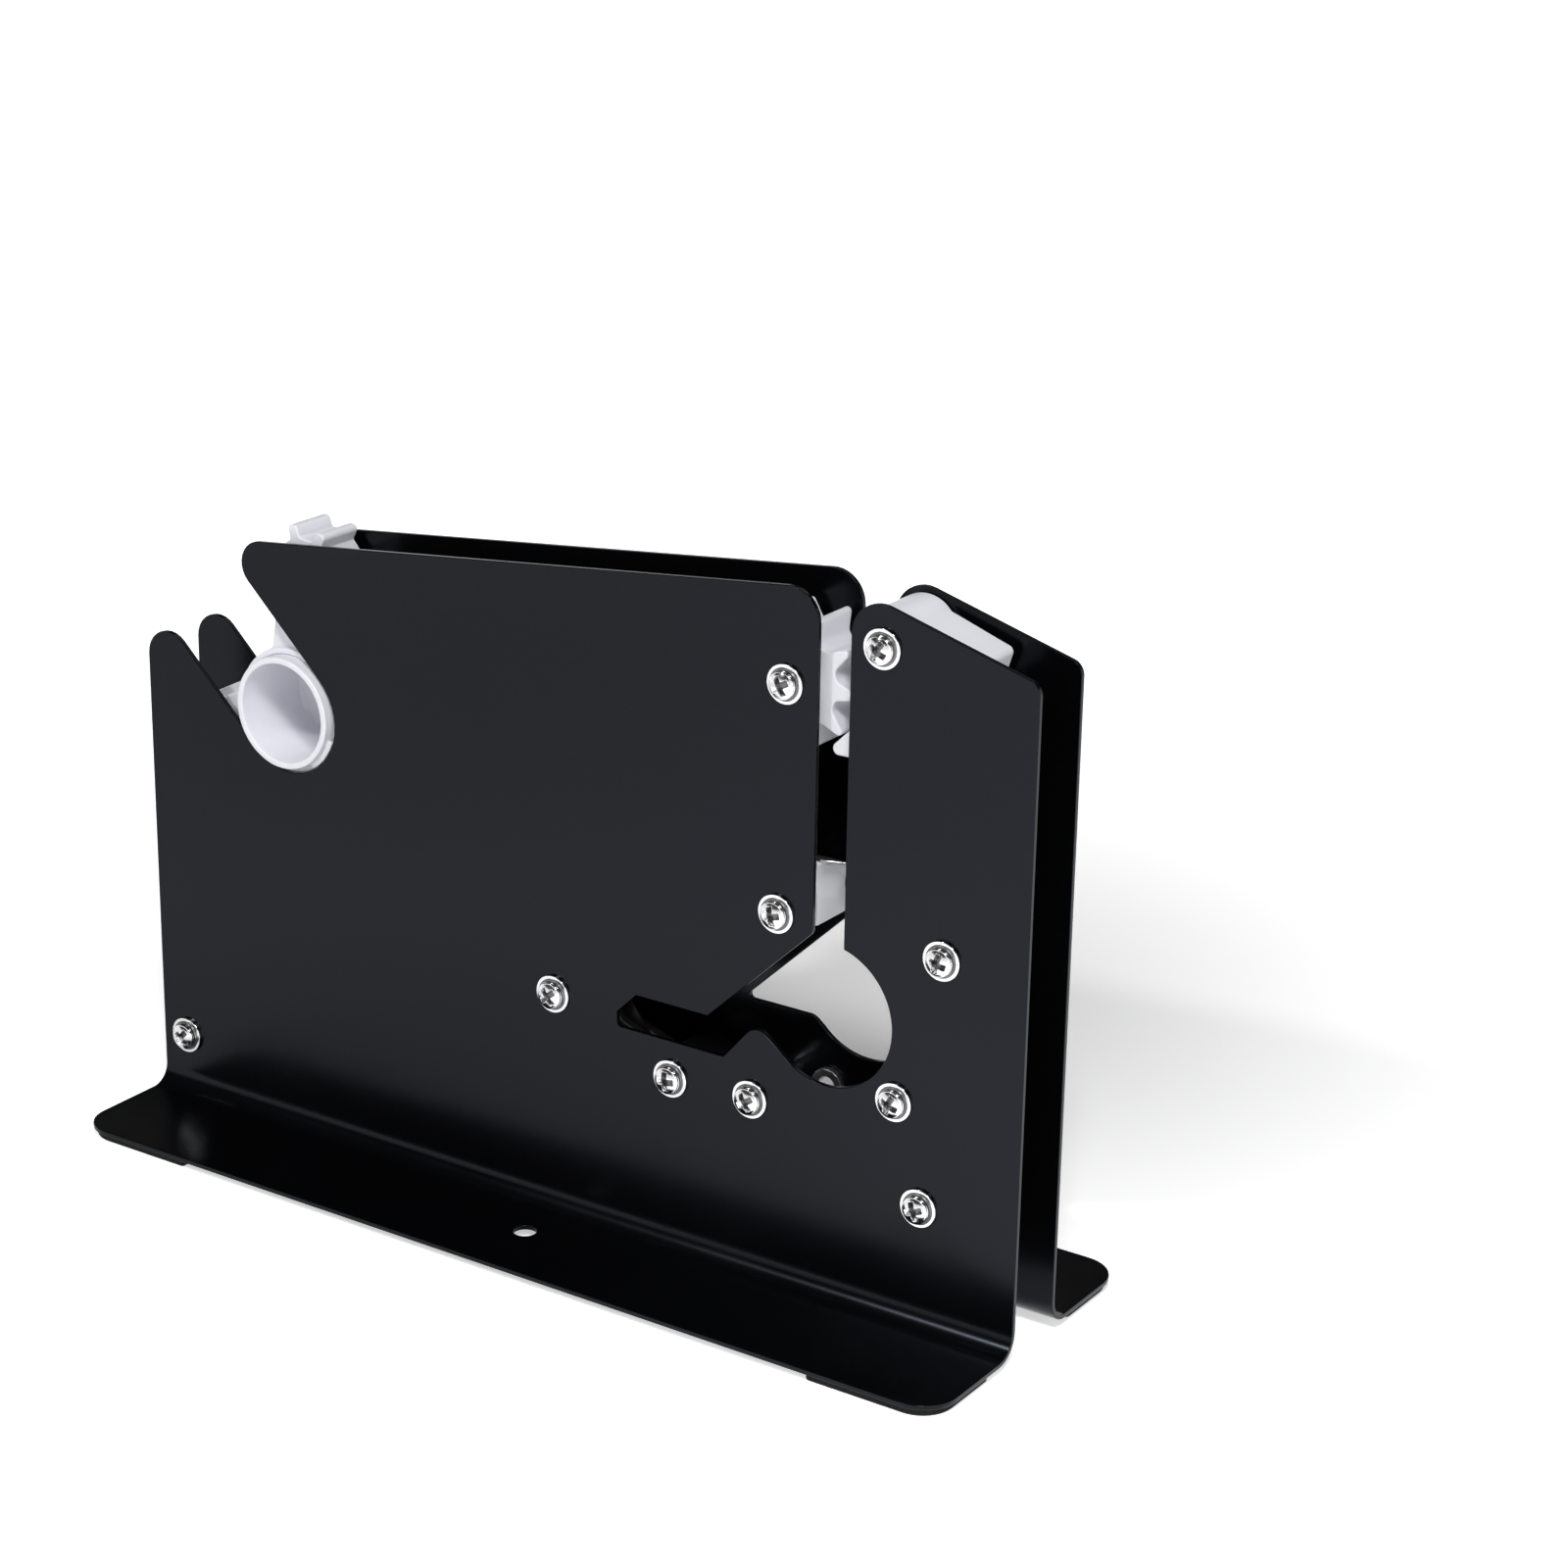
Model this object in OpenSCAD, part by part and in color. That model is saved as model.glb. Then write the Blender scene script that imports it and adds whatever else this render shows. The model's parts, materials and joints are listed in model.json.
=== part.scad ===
// Bag neck sealing tape dispenser.
// Two bent steel side plates stand back to back on flanges, held apart by spacers.
// A tape hub lies in the slanted slots, a toothed wheel and a sprung presser arm flank
// the throat, a toothed blade cuts the tape and a second blade trims the bag neck.
// Along the plates x runs from their left end, and z is the height over the underside of
// the flanges. Front is -Y, and Y = 0 is midway between the plates.

/* [Side plates] */
// Length of both side plates
plate_len = 250; // [246:1:270]
// Thickness of the sheet
sheet_t = 1.2; // [0.8:0.1:2]
// Clear gap between the plates
plate_gap = 16.4; // [15.4:0.2:22]
// Height that the long top edge would have at the left end
top_z = 146.2; // [144:0.2:156]
// Rise of the long top edge over the length of the plate
top_rise = 26.5; // [20:0.5:32]
// Height of the slanted edge right of the throat, at the throat
right_lip_z = 168.4; // [167:0.2:176]
// Height of the slanted edge at the right end
right_end_z = 155.6; // [152:0.2:162]
// Rounding of the two corners at the mouth of the throat
lip_r = 7.5; // [3:0.1:8]
// Rounding of the right end's top corner
right_corner_r = 3.5; // [1:0.5:8]

/* [Flanges] */
// Reach of a flange from the plate's outer face
flange_w = 32.2; // [30:0.2:45]
// Inside radius of the fold between plate and flange
fold_r = 5; // [3:0.5:6]
// Rounding of the flange corners
flange_corner_r = 9; // [4:0.5:12]
// Diameter of the mounting hole in each flange
flange_hole_d = 5.5; // [4:0.1:6.5]
// Distance of the mounting hole right of the middle of the plate
flange_hole_shift = 1.5; // [-30:0.5:30]
// Distance of the mounting hole from the plate's outer face
flange_hole_out = 14.5; // [12:0.5:18]

/* [Foot pads] */
// Thickness of a foot pad
pad_t = 2; // [1:0.5:4]
// Length of a foot pad
pad_len = 33; // [20:1:60]
// Width of a foot pad
pad_w = 23; // [14:0.5:24]
// Inset of a foot pad from the flange edges
pad_inset = 1; // [0.5:0.5:2]

/* [Hub slots] */
// Place of the slot's round end along the plate
hub_x = 44.6; // [43:0.2:52]
// Height of the slot's round end
hub_z = 108.5; // [104:0.5:112]
// Width of the slanted slot
hub_slot_w = 29.2; // [28.8:0.2:30]
// Slope of the slot above the horizontal
hub_slot_angle = 44; // [40:0.5:48]
// Rounding of the horn left of the slot
horn_r = 6.6; // [3:0.2:7]
// Rounding of the corner right of the slot's mouth
mouth_r = 6; // [3:0.5:8]

/* [Throat and openings] */
// Distance of the throat's left edge from the right end of the plates
throat_inset = 54.5; // [48:0.1:60]
// Width of the throat
throat_w = 8.2; // [7.6:0.1:8.6]
// Height where the throat's left edge turns into the slanted edge
throat_foot_z = 87.9; // [86:0.1:88.4]
// Rounding of that corner
throat_foot_r = 2; // [1:0.1:3]
// Distance of the round opening's centre right of the throat's left edge
opening_right = 4.1; // [3.5:0.1:5.5]
// Height of the centre of the round opening
opening_z = 69.5; // [68:0.1:71]
// Radius of the round opening
opening_r = 17; // [15:0.1:17.5]
// Distance of the side slot's left end from the throat
side_slot_left = 53.1; // [50:0.1:56]
// Height of the side slot's lower edge
side_slot_low = 52.4; // [52:0.1:54]
// Width of the side slot
side_slot_w = 8.9; // [7.6:0.1:9.6]
// Chamfer at the side slot's upper left corner
side_slot_chamfer = 5.4; // [2:0.1:6]
// Distance of the right end of the side slot's upper edge from the throat
side_slot_end = 27.8; // [26:0.1:31]
// Distance of the hump from the round opening's left side
hump_left = 1.6; // [0.6:0.1:2.6]
// Run of the hump's left slope
hump_run = 8.7; // [7:0.1:10]
// Height of the hump's sharp corner over the side slot's lower edge, before rounding
hump_rise = 10.2; // [9:0.1:12]
// Rounding of the hump
hump_r = 3.6; // [1:0.1:4]
// Rounding of the side slot's lower corners
side_slot_r = 1; // [0.5:0.1:1.5]
// Height of the rear opening's level edge over the side slot's lower edge
rear_sill = 7.2; // [6:0.1:8.4]

/* [Screws and spacers] */
// Diameter of a screw thread
screw_d = 4; // [3:0.5:4]
// Diameter of a screw head
head_d = 7.2; // [6:0.2:8]
// Height of a screw head
head_h = 2.3; // [1.8:0.1:3]
// Width of a screw head's cross recess
recess_w = 1; // [0.6:0.1:1.4]
// Length of a screw head's cross recess
recess_len = 4.2; // [3:0.1:4.6]
// Depth of a screw head's cross recess
recess_depth = 1.3; // [0.8:0.1:1.5]
// Length of thread inside a spacer
screw_grip = 5.5; // [4:0.1:5.6]
// Diameter of a washer
washer_d = 9.2; // [8.6:0.2:11]
// Thickness of a washer
washer_t = 0.8; // [0.5:0.1:1.5]
// Diameter of a spacer
spacer_d = 8; // [7:0.2:8.4]
// Upper wheel axle, left of the throat's left edge
wheel_left = 8.1; // [7.9:0.1:8.7]
// Upper wheel axle, height
wheel_z = 144; // [143:0.1:145]
// Presser arm axle, right of the throat's right edge
arm_right = 8.1; // [7.9:0.1:10.3]
// Presser arm axle, height
arm_z = 156.5; // [155.5:0.1:157]
// Cutter block spacer, left of the throat's left edge
block_left = 9.4; // [8.9:0.1:11]
// Cutter block spacer, height
block_z = 90.5; // [90:0.1:92]
// Spring post, right of the throat's right edge
post_right = 25.2; // [23.3:0.1:25.7]
// Spring post, height
post_z = 89.6; // [85:0.1:95]
// Left screw of the trimming blade holder, left of the throat's left edge
holder_far = 71.2; // [69.5:0.1:74.5]
// Left screw of the trimming blade holder, height
holder_left_z = 56; // [54:0.1:58]
// Right screw of the trimming blade holder, left of the throat's left edge
holder_near = 37.6; // [35.5:0.1:40.5]
// Right screw of the trimming blade holder, height
holder_right_z = 43.3; // [41:0.1:44.5]
// Lower left spacer, from the left end
corner_left_x = 7.9; // [6.5:0.1:12]
// Lower left spacer, height
corner_left_z = 15.8; // [14:0.1:20]
// Spacer under the hump, left of the throat's left edge
hump_spacer_left = 15.6; // [13.5:0.1:17.5]
// Spacer under the hump, height
hump_spacer_z = 44; // [40:0.1:46]
// Spacer right of the round opening, right of the throat's right edge
opening_spacer_right = 14.2; // [13.3:0.1:18.3]
// Spacer right of the round opening, height
opening_spacer_z = 53.5; // [50:0.1:54]
// Lower right spacer, from the right end
corner_right_inset = 24.9; // [10:0.1:30]
// Lower right spacer, height
corner_right_z = 29.8; // [20:0.1:34]

/* [Bushing] */
// Bushing in the rear plate, left of the throat's left edge
bushing_left = 5.8; // [5.4:0.1:6.2]
// Height of the bushing
bushing_z = 44; // [40:0.1:46]
// Diameter of the bushing's flange
bushing_d = 8; // [7:0.2:8.4]
// Thickness of the bushing's flange
bushing_t = 1.5; // [1:0.1:3]
// Diameter of the collar that sits in the plate
collar_d = 6; // [5:0.2:6.4]
// Diameter of the bushing's bore
bushing_bore = 4.2; // [3:0.1:4.4]

/* [Tape hub] */
// Outer diameter of the hub tube
tube_d = 27.8; // [26:0.2:27.8]
// Wall of the hub tube
tube_wall = 1.6; // [1:0.1:2.5]
// Overhang of the hub tube past each plate
tube_over = 1.8; // [1:0.1:3]
// Thickness of the closed rear end of the hub tube
tube_end = 1.5; // [1:0.1:3]
// Distance of the tube's centre from the slot's round end, up the slot
tube_up = 0.8; // [0.4:0.1:1]
// Angle of a lug's lower side, below the horizontal
lug_low = 58; // [50:1:70]
// Angle of a lug's upper side, below the horizontal
lug_high = 20; // [0:1:40]
// Wall of the ring that turns on the tube
hub_ring_wall = 1.6; // [1:0.1:2]
// Width of the tape, the wheel and the arms
tape_w = 12.4; // [11:0.2:13]
// Radius of the ears that hold the tape core
core_r = 45.7; // [43:0.1:46.5]
// Turn of the first arm from the horizontal
hub_turn = 83.5; // [80:0.5:90]
// Width of an arm at the ring
arm_root_w = 17.8; // [14:0.2:20]
// Width of an arm at its shoulder
arm_tip_w = 13.6; // [12:0.2:16]
// Depth of the shoulder under the ears
shoulder_drop = 5.7; // [5:0.1:7]
// Depth of the waist under the ears
waist_drop = 3.8; // [3:0.1:4.4]
// Width of the waist
waist_w = 9.4; // [8:0.2:10]
// Width over both ears, before rounding
ear_spread = 12; // [11.6:0.2:13]
// Gap between the tops of the ears, before rounding
ear_gap = 6; // [5:0.2:6.4]
// Depth of the saddle between the ears
saddle_drop = 2.6; // [2:0.1:3]
// Width of the saddle's level part
saddle_w = 3.8; // [3:0.2:4.4]
// Rounding of the ears
ear_r = 1.2; // [0.5:0.1:1.2]
// Extra width of the thin web in the middle of an arm, on each side
web_extra = 2.2; // [1:0.1:3]
// Thickness of that web
web_t = 2.6; // [1.5:0.1:4]

/* [Upper wheel] */
// Number of teeth
wheel_teeth = 10; // [8:1:11]
// Radius over the tooth tips
wheel_tip_r = 15.8; // [15:0.1:16.4]
// Radius at the bottom of the gullets
wheel_root_r = 10.8; // [9.8:0.1:11.4]
// Rounding of a tooth tip
tooth_tip_r = 1; // [0.6:0.1:1.2]
// Rounding of a gullet
gullet_r = 2.2; // [1.5:0.1:2.4]
// Turn of the first tooth from the horizontal
wheel_turn = -4; // [-18:0.1:18]
// Radius of the wheel's side bosses
wheel_boss_r = 6.5; // [6:0.1:8]

/* [Presser arm] */
// Radius of the arm's round head
arm_head_r = 8.2; // [7:0.1:8.4]
// Reach of the tail from the arm's axle
tail_len = 21.9; // [21:0.1:24]
// Depth of the tail
tail_h = 8; // [7.6:0.2:10]
// Height of the tail's top over the axle, square to the tail
tail_top = 7.4; // [7:0.1:7.8]
// Slope of the tail below the horizontal
tail_tilt = 17.3; // [15:0.1:20]
// Rounding of the tail's end
tail_r = 1.5; // [0.5:0.1:2]
// Width of the leg that runs down beside the throat
leg_w = 5.6; // [4.6:0.1:6]
// Setback of the leg from the throat
leg_back = 1.8; // [1.5:0.1:2.5]
// Radius of the nose that presses the tape
nose_r = 1.5; // [1.2:0.1:2]
// Direction of the nose from the wheel axle, below the horizontal
nose_angle = 49; // [46:0.1:52]
// Gap between the nose and the wheel's tooth tips
nose_gap = 0.5; // [0.4:0.1:1]
// Height of the brow, the upper end of the nose's slope, over the elbow
brow_rise = 6; // [4:0.1:8]

/* [Presser spring] */
// Diameter of the spring pin
pin_d = 3; // [2:0.1:3.4]
// Depth of the spring pin below the tail's top
pin_drop = 5.2; // [5:0.1:5.6]
// Diameter of the spring wire
wire_d = 0.7; // [0.5:0.05:0.8]
// Gap between the curls
coil_gap = 0.55; // [0.45:0.05:0.8]
// Number of curls
coil_turns = 24; // [16:1:30]
// Diameter of the post's groove
groove_d = 4; // [3:0.1:5]

/* [Cutter] */
// Height of the cutter block's top, midway between the plates
block_top_z = 101.3; // [100:0.1:104]
// Slope of the top, down towards the rear
block_slant = 20; // [10:1:24]
// Height of the cutter block's foot beside the throat
block_foot_z = 88.5; // [88:0.1:89.5]
// Width of the cutter block along the plate
block_w = 20; // [19:0.2:24]
// Width of the foot beside the throat
block_foot_w = 5.4; // [4.6:0.1:6]
// Setback of the cutter block from the throat
block_back = 0.7; // [0.5:0.1:1.5]
// Depth of the scoop in the face beside the throat
scoop_depth = 0.9; // [0.4:0.1:1.5]
// Height of that scoop
scoop_h = 7; // [5:0.1:8]
// Radius of the cutter block's boss
block_boss_r = 6.5; // [6:0.1:6.8]
// Thickness of the tape blade
blade_t = 0.6; // [0.4:0.1:1]
// Length of the tape blade along the plate
blade_len = 16; // [14:0.5:18]
// Depth of the blade's teeth
blade_tooth = 1.4; // [0.8:0.1:2]
// Number of the blade's teeth
blade_teeth = 9; // [6:1:12]
// Diameter of the two small screws on the tape blade
small_screw_d = 2; // [1.6:0.1:2.2]
// Diameter of their heads
small_head_d = 3.6; // [3:0.1:4]
// Height of their heads
small_head_h = 1.2; // [0.8:0.1:1.6]
// Length of their threads in the block
small_screw_grip = 4; // [3:0.5:5]

/* [Trimming blade] */
// Depth of the blade's middle behind the front plate's inner face
trim_depth = 3; // [2.6:0.1:4]
// Thickness of the trimming blade
trim_t = 0.6; // [0.4:0.1:1]
// Width of the trimming blade
trim_w = 10; // [9:0.2:12]
// Drop of the cutting edge's lower end below the side slot
trim_low = 4; // [3:0.1:5]
// Reach of the cutting edge's upper end above the side slot
trim_high = 2.5; // [1.5:0.1:4]
// Reach of the cutting edge's lower end past the side slot's end
trim_in = 8; // [6:0.1:10]
// Setback of the cutting edge's upper end behind the side slot's end
trim_back = 3; // [1:0.1:4]
// Part of the blade's width that stands out of its holder
trim_bare = 3.5; // [3:0.1:5]
// Thickness of the holder's rear half
holder_t = 3; // [2.4:0.1:4]
// Radius of the holder's bosses
holder_boss_r = 6; // [5.5:0.1:7]
// Width of the holder's bar
holder_bar_w = 8; // [7:0.2:9]
// Diameter of the peg that holds the blade
peg_d = 3; // [2:0.1:3.4]

/* [Hidden] */

// Clearances and cuts that many pieces share
running_fit = 0.06;
seat_gap = 0.3;
side_clear = 0.3;
hole_clear = 0.25;
bore_spare = 0.6;
overrun = 1;

// Roundness of circles, steps of drawn arcs, rings and sides of the spring
$fn = 64;
arc_steps = 10;
opening_steps = 48;
hook_steps = 10;
curl_rings = 8;
wire_sides = 6;

paint_black = [0.07, 0.07, 0.08];
plastic_white = [0.93, 0.93, 0.95];
plastic_black = [0.1, 0.1, 0.11];
foam_black = [0.13, 0.13, 0.13];
zinc = [0.82, 0.83, 0.85];
steel = [0.6, 0.62, 0.65];

half_gap = plate_gap / 2;
outer_y = half_gap + sheet_t;
flange_edge_y = outer_y + flange_w;
fold_centre_y = outer_y + fold_r;
fold_top = sheet_t + fold_r;
half_tape = tape_w / 2;
half_boss = half_gap - side_clear;
screw_r = screw_d / 2;
spacer_r = spacer_d / 2;
tube_r = tube_d / 2;
slot_half = hub_slot_w / 2;
pin_r = pin_d / 2;
wire_r = wire_d / 2;
groove_r = groove_d / 2;

// Throat, round opening and side slot with its hump, along the plate
throat_x = plate_len - throat_inset;
throat_right = throat_x + throat_w;
opening_x = throat_x + opening_right;
side_slot_x = throat_x - side_slot_left;
side_slot_end_x = throat_x - side_slot_end;
side_slot_high = side_slot_low + side_slot_w;
hump_x = opening_x - opening_r - hump_left;
hump_foot_x = hump_x - hump_run;
hump_z = side_slot_low + hump_rise;
sill_z = side_slot_low + rear_sill;
trim_y = trim_depth - half_gap;

// Places of the screws, as [x, z]
wheel_c = [throat_x - wheel_left, wheel_z];
arm_c = [throat_right + arm_right, arm_z];
block_c = [throat_x - block_left, block_z];
post_c = [throat_right + post_right, post_z];
holder_left_c = [throat_x - holder_far, holder_left_z];
holder_right_c = [throat_x - holder_near, holder_right_z];
corner_left_c = [corner_left_x, corner_left_z];
hump_spacer_c = [throat_x - hump_spacer_left, hump_spacer_z];
opening_spacer_c = [throat_right + opening_spacer_right, opening_spacer_z];
corner_right_c = [plate_len - corner_right_inset, corner_right_z];
bushing_c = [throat_x - bushing_left, bushing_z];
screw_places = [
    wheel_c, arm_c, block_c, post_c, holder_left_c, holder_right_c,
    corner_left_c, hump_spacer_c, opening_spacer_c, corner_right_c
];

// Unit vector along v
function unit(v) = v / norm(v);

// Point p turned by angle t
function turned(p, t) = [p[0] * cos(t) - p[1] * sin(t), p[0] * sin(t) + p[1] * cos(t)];

// Points of an arc about c, from angle a to angle b
function arc(c, r, a, b, n) =
    [for (i = [0:n]) let(t = a + (b - a) * i / n) c + r * [cos(t), sin(t)]];

// Points that round corner b of the path a, b, c with radius r
function corner(a, b, c, r) =
    let(
        u = unit(a - b),
        w = unit(c - b),
        half = acos(u * w) / 2,
        centre = b + unit(u + w) * r / sin(half),
        from = b + u * r / tan(half) - centre,
        to = b + w * r / tan(half) - centre,
        start = atan2(from[1], from[0]),
        turn = atan2(from[0] * to[1] - from[1] * to[0], from * to)
    )
    arc(centre, r, start, start + turn, arc_steps);

// Outline through points [x, z, radius], each rounded with its own radius
function rounded(p) =
    let(n = len(p))
    [for (i = [0:n - 1])
        let(a = p[(i + n - 1) % n], b = p[i], c = p[(i + 1) % n])
        each b[2] > 0
            ? corner([a[0], a[1]], [b[0], b[1]], [c[0], c[1]], b[2])
            : [[b[0], b[1]]]];

// Points of an outline with radius 0 each, ready for rounded()
function sharp(p) = [for (q = p) [q[0], q[1], 0]];

// Place at height z on the line through a and b
function x_at(a, b, z) = a[0] + (b[0] - a[0]) * (z - a[1]) / (b[1] - a[1]);

// Height of the long top edge at x
top_slope = top_rise / plate_len;
function top_at(x) = top_z + top_slope * x;

// Slanted hub slot: the direction of its mouth, its two edges and where they end
hub_seat = [hub_x, hub_z];
slot_out = [-cos(hub_slot_angle), sin(hub_slot_angle)];
slot_side = slot_half * [sin(hub_slot_angle), cos(hub_slot_angle)];
slot_low = hub_seat - slot_side;
slot_high = hub_seat + slot_side;
horn_z = slot_low[1] + slot_low[0] * tan(hub_slot_angle);
mouth_run = (top_at(slot_high[0]) - slot_high[1]) / (slot_out[1] - top_slope * slot_out[0]);
mouth = slot_high + mouth_run * slot_out;

// Round opening: the angles where its edge leaves the hump and meets the throat
opening_c = [opening_x, opening_z];
hump_meet = 225;
throat_meet = 360 + acos((throat_right - opening_x) / opening_r);

// Lower edge of the opening, from the throat's foot to the round opening: the front plate
// has a side slot and a hump, the rear plate is level there
throat_foot = [throat_x, throat_foot_z];
side_slot_end_point = [side_slot_end_x, side_slot_high];
hump_top = [hump_x, hump_z];
hump_end = opening_c + opening_r * [cos(hump_meet), sin(hump_meet)];
front_lower = [
    [side_slot_end_x, side_slot_high, 0],
    [side_slot_x + side_slot_chamfer, side_slot_high, 0],
    [side_slot_x, side_slot_high - side_slot_chamfer, 0],
    [side_slot_x, side_slot_low, side_slot_r],
    [hump_foot_x, side_slot_low, side_slot_r],
    [hump_x, hump_z, hump_r]
];
rear_lower = [
    [x_at(throat_foot, side_slot_end_point, sill_z), sill_z, side_slot_r],
    [x_at(hump_top, hump_end, sill_z), sill_z, hump_r]
];

// Outline of a plate with the given lower edge of its opening
function plate_outline(lower) = rounded(concat(
    [[0, fold_top, 0], [0, horn_z, horn_r]],
    sharp(arc(hub_seat, slot_half, 270 - hub_slot_angle, 450 - hub_slot_angle, arc_steps * 2)),
    [
        [mouth[0], mouth[1], mouth_r],
        [throat_x, top_at(throat_x), lip_r],
        [throat_x, throat_foot_z, throat_foot_r]
    ],
    lower,
    sharp(arc(opening_c, opening_r, hump_meet, throat_meet, opening_steps)),
    [
        [throat_right, right_lip_z, lip_r],
        [plate_len, right_end_z, right_corner_r],
        [plate_len, fold_top, 0]
    ]
));

// Flange seen from above, as [x, y]
flange_outline = rounded([
    [0, -half_gap, 0],
    [0, -flange_edge_y, flange_corner_r],
    [plate_len, -flange_edge_y, flange_corner_r],
    [plate_len, -half_gap, 0]
]);

// Moves what is drawn in plate coordinates into the frame of the whole device
module placed() {
    translate([-plate_len / 2, 0, pad_t])
        children();
}

// Upright slab of a flat shape drawn as [x, z]
module slab(from_y, to_y) {
    translate([0, to_y, 0])
        rotate([90, 0, 0])
            linear_extrude(to_y - from_y)
                children();
}

// Round bar along Y at place c
module bar(c, r, from_y, to_y) {
    translate([c[0], to_y, c[1]])
        rotate([90, 0, 0])
            cylinder(r = r, h = to_y - from_y);
}

// Front plate with the given lower edge; the rear plate is a mirror image with its own
module side_plate(lower) {
    slab(-outer_y, -half_gap)
        difference() {
            polygon(plate_outline(lower));
            for (c = screw_places)
                translate(c)
                    circle(r = screw_r + hole_clear);
        }
    difference() {
        intersection() {
            rotate([90, 0, 90])
                linear_extrude(plate_len)
                    fold_profile();
            linear_extrude(fold_top)
                polygon(flange_outline);
        }
        translate([plate_len / 2 + flange_hole_shift, -(outer_y + flange_hole_out), -overrun])
            cylinder(d = flange_hole_d, h = sheet_t + 2 * overrun);
    }
}

// Flange and fold, seen along X, as [y, z]
module fold_profile() {
    translate([-flange_edge_y, 0])
        square([flange_edge_y - fold_centre_y, sheet_t]);
    translate([-fold_centre_y, fold_top])
        intersection() {
            difference() {
                circle(r = fold_top);
                circle(r = fold_r);
            }
            translate([0, -fold_top])
                square(fold_top);
        }
}

// Foot pad under the front flange's left end; the others are its mirror images
module foot_pad() {
    left = pad_inset;
    near = pad_inset - flange_edge_y;
    color(foam_black)
        translate([0, 0, -pad_t])
            linear_extrude(pad_t)
                polygon(rounded([
                    [left, near, flange_corner_r - pad_inset],
                    [left + pad_len, near, pad_inset],
                    [left + pad_len, near + pad_w, pad_inset],
                    [left, near + pad_w, pad_inset]
                ]));
}

// Spacer between the plates, with a threaded bore in each end
module spacer(c) {
    color(zinc)
        difference() {
            bar(c, spacer_r, -half_gap, half_gap);
            spacer_bores(c);
        }
}

module spacer_bores(c) {
    depth = screw_grip + bore_spare;
    bar(c, screw_r + running_fit, -half_gap - overrun, depth - half_gap);
    bar(c, screw_r + running_fit, half_gap - depth, half_gap + overrun);
}

// Pan head screw with a cross recess, head up, its bearing face at z = 0
module screw(thread_d, over_d, over_h, thread_len, slot_w, slot_len, slot_depth) {
    rise = over_h * 2 / 3;
    dome_r = (over_d * over_d / 4 + rise * rise) / (2 * rise);
    difference() {
        union() {
            translate([0, 0, -thread_len])
                cylinder(d = thread_d, h = thread_len);
            intersection() {
                cylinder(d = over_d, h = over_h);
                translate([0, 0, over_h - dome_r])
                    sphere(r = dome_r);
            }
        }
        for (t = [0, 90])
            rotate(t)
                translate([-slot_len / 2, -slot_w / 2, over_h - slot_depth])
                    cube([slot_len, slot_w, slot_depth + overrun]);
    }
}

// Screws of the front plate, each turned by a different angle
module plate_screws() {
    color(zinc)
        for (i = [0:len(screw_places) - 1])
            translate([screw_places[i][0], -(outer_y + washer_t), screw_places[i][1]])
                rotate([90, 37 * i, 0])
                    screw(screw_d, head_d, head_h, washer_t + sheet_t + screw_grip,
                        recess_w, recess_len, recess_depth);
}

module plate_washers() {
    color(zinc)
        for (c = screw_places)
            difference() {
                bar(c, washer_d / 2, -outer_y - washer_t, -outer_y);
                bar(c, screw_r + hole_clear, -outer_y - washer_t - overrun, overrun - outer_y);
            }
}

// The tube lies with two lugs at each end in the round ends of the slots
tube_c = hub_seat + tube_up * slot_out;

module lugs() {
    lug_reach = slot_half * 2;
    intersection() {
        translate(hub_seat)
            circle(r = slot_half - seat_gap);
        translate(tube_c)
            for (side = [-1, 1])
                polygon([
                    [0, 0],
                    lug_reach * [side * cos(lug_low), -sin(lug_low)],
                    lug_reach * [side * cos(lug_high), -sin(lug_high)]
                ]);
    }
}

module hub_tube() {
    reach = outer_y + tube_over;
    color(plastic_white)
        placed()
            difference() {
                union() {
                    bar(tube_c, tube_r, -reach, reach);
                    for (side = [-1, 1])
                        slab(side * (half_gap + outer_y) / 2 - sheet_t / 2,
                            side * (half_gap + outer_y) / 2 + sheet_t / 2)
                            lugs();
                }
                bar(tube_c, tube_r - tube_wall, -reach - overrun, reach - tube_end);
            }
}

// One arm of the hub along +X
module arm_outline() {
    upper = [
        [0, arm_root_w / 2, 0],
        [core_r - shoulder_drop, arm_tip_w / 2, ear_r / 2],
        [core_r - waist_drop, waist_w / 2, ear_r / 2],
        [core_r, ear_spread / 2, ear_r],
        [core_r, ear_gap / 2, ear_r],
        [core_r - saddle_drop, saddle_w / 2, ear_r]
    ];
    polygon(rounded(concat(
        [for (q = upper) [q[0], -q[1], q[2]]],
        [for (i = [len(upper) - 1:-1:0]) upper[i]]
    )));
}

module web_outline() {
    root = arm_root_w / 2 + web_extra;
    tip = arm_tip_w / 2 + web_extra;
    tip_a = core_r - shoulder_drop - web_extra;
    polygon(rounded([[0, -root, 0], [tip_a, -tip, web_extra], [tip_a, tip, web_extra], [0, root, 0]]));
}

module three_arms(thickness) {
    slab(-thickness / 2, thickness / 2)
        translate(tube_c)
            for (t = [0:120:240])
                rotate(hub_turn + t)
                    children();
}

module tape_hub() {
    color(plastic_white)
        placed()
            difference() {
                union() {
                    bar(tube_c, tube_r + hub_ring_wall, -half_boss, half_boss);
                    three_arms(tape_w)
                        arm_outline();
                    three_arms(web_t)
                        web_outline();
                }
                bar(tube_c, tube_r + running_fit, -half_gap, half_gap);
            }
}

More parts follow.
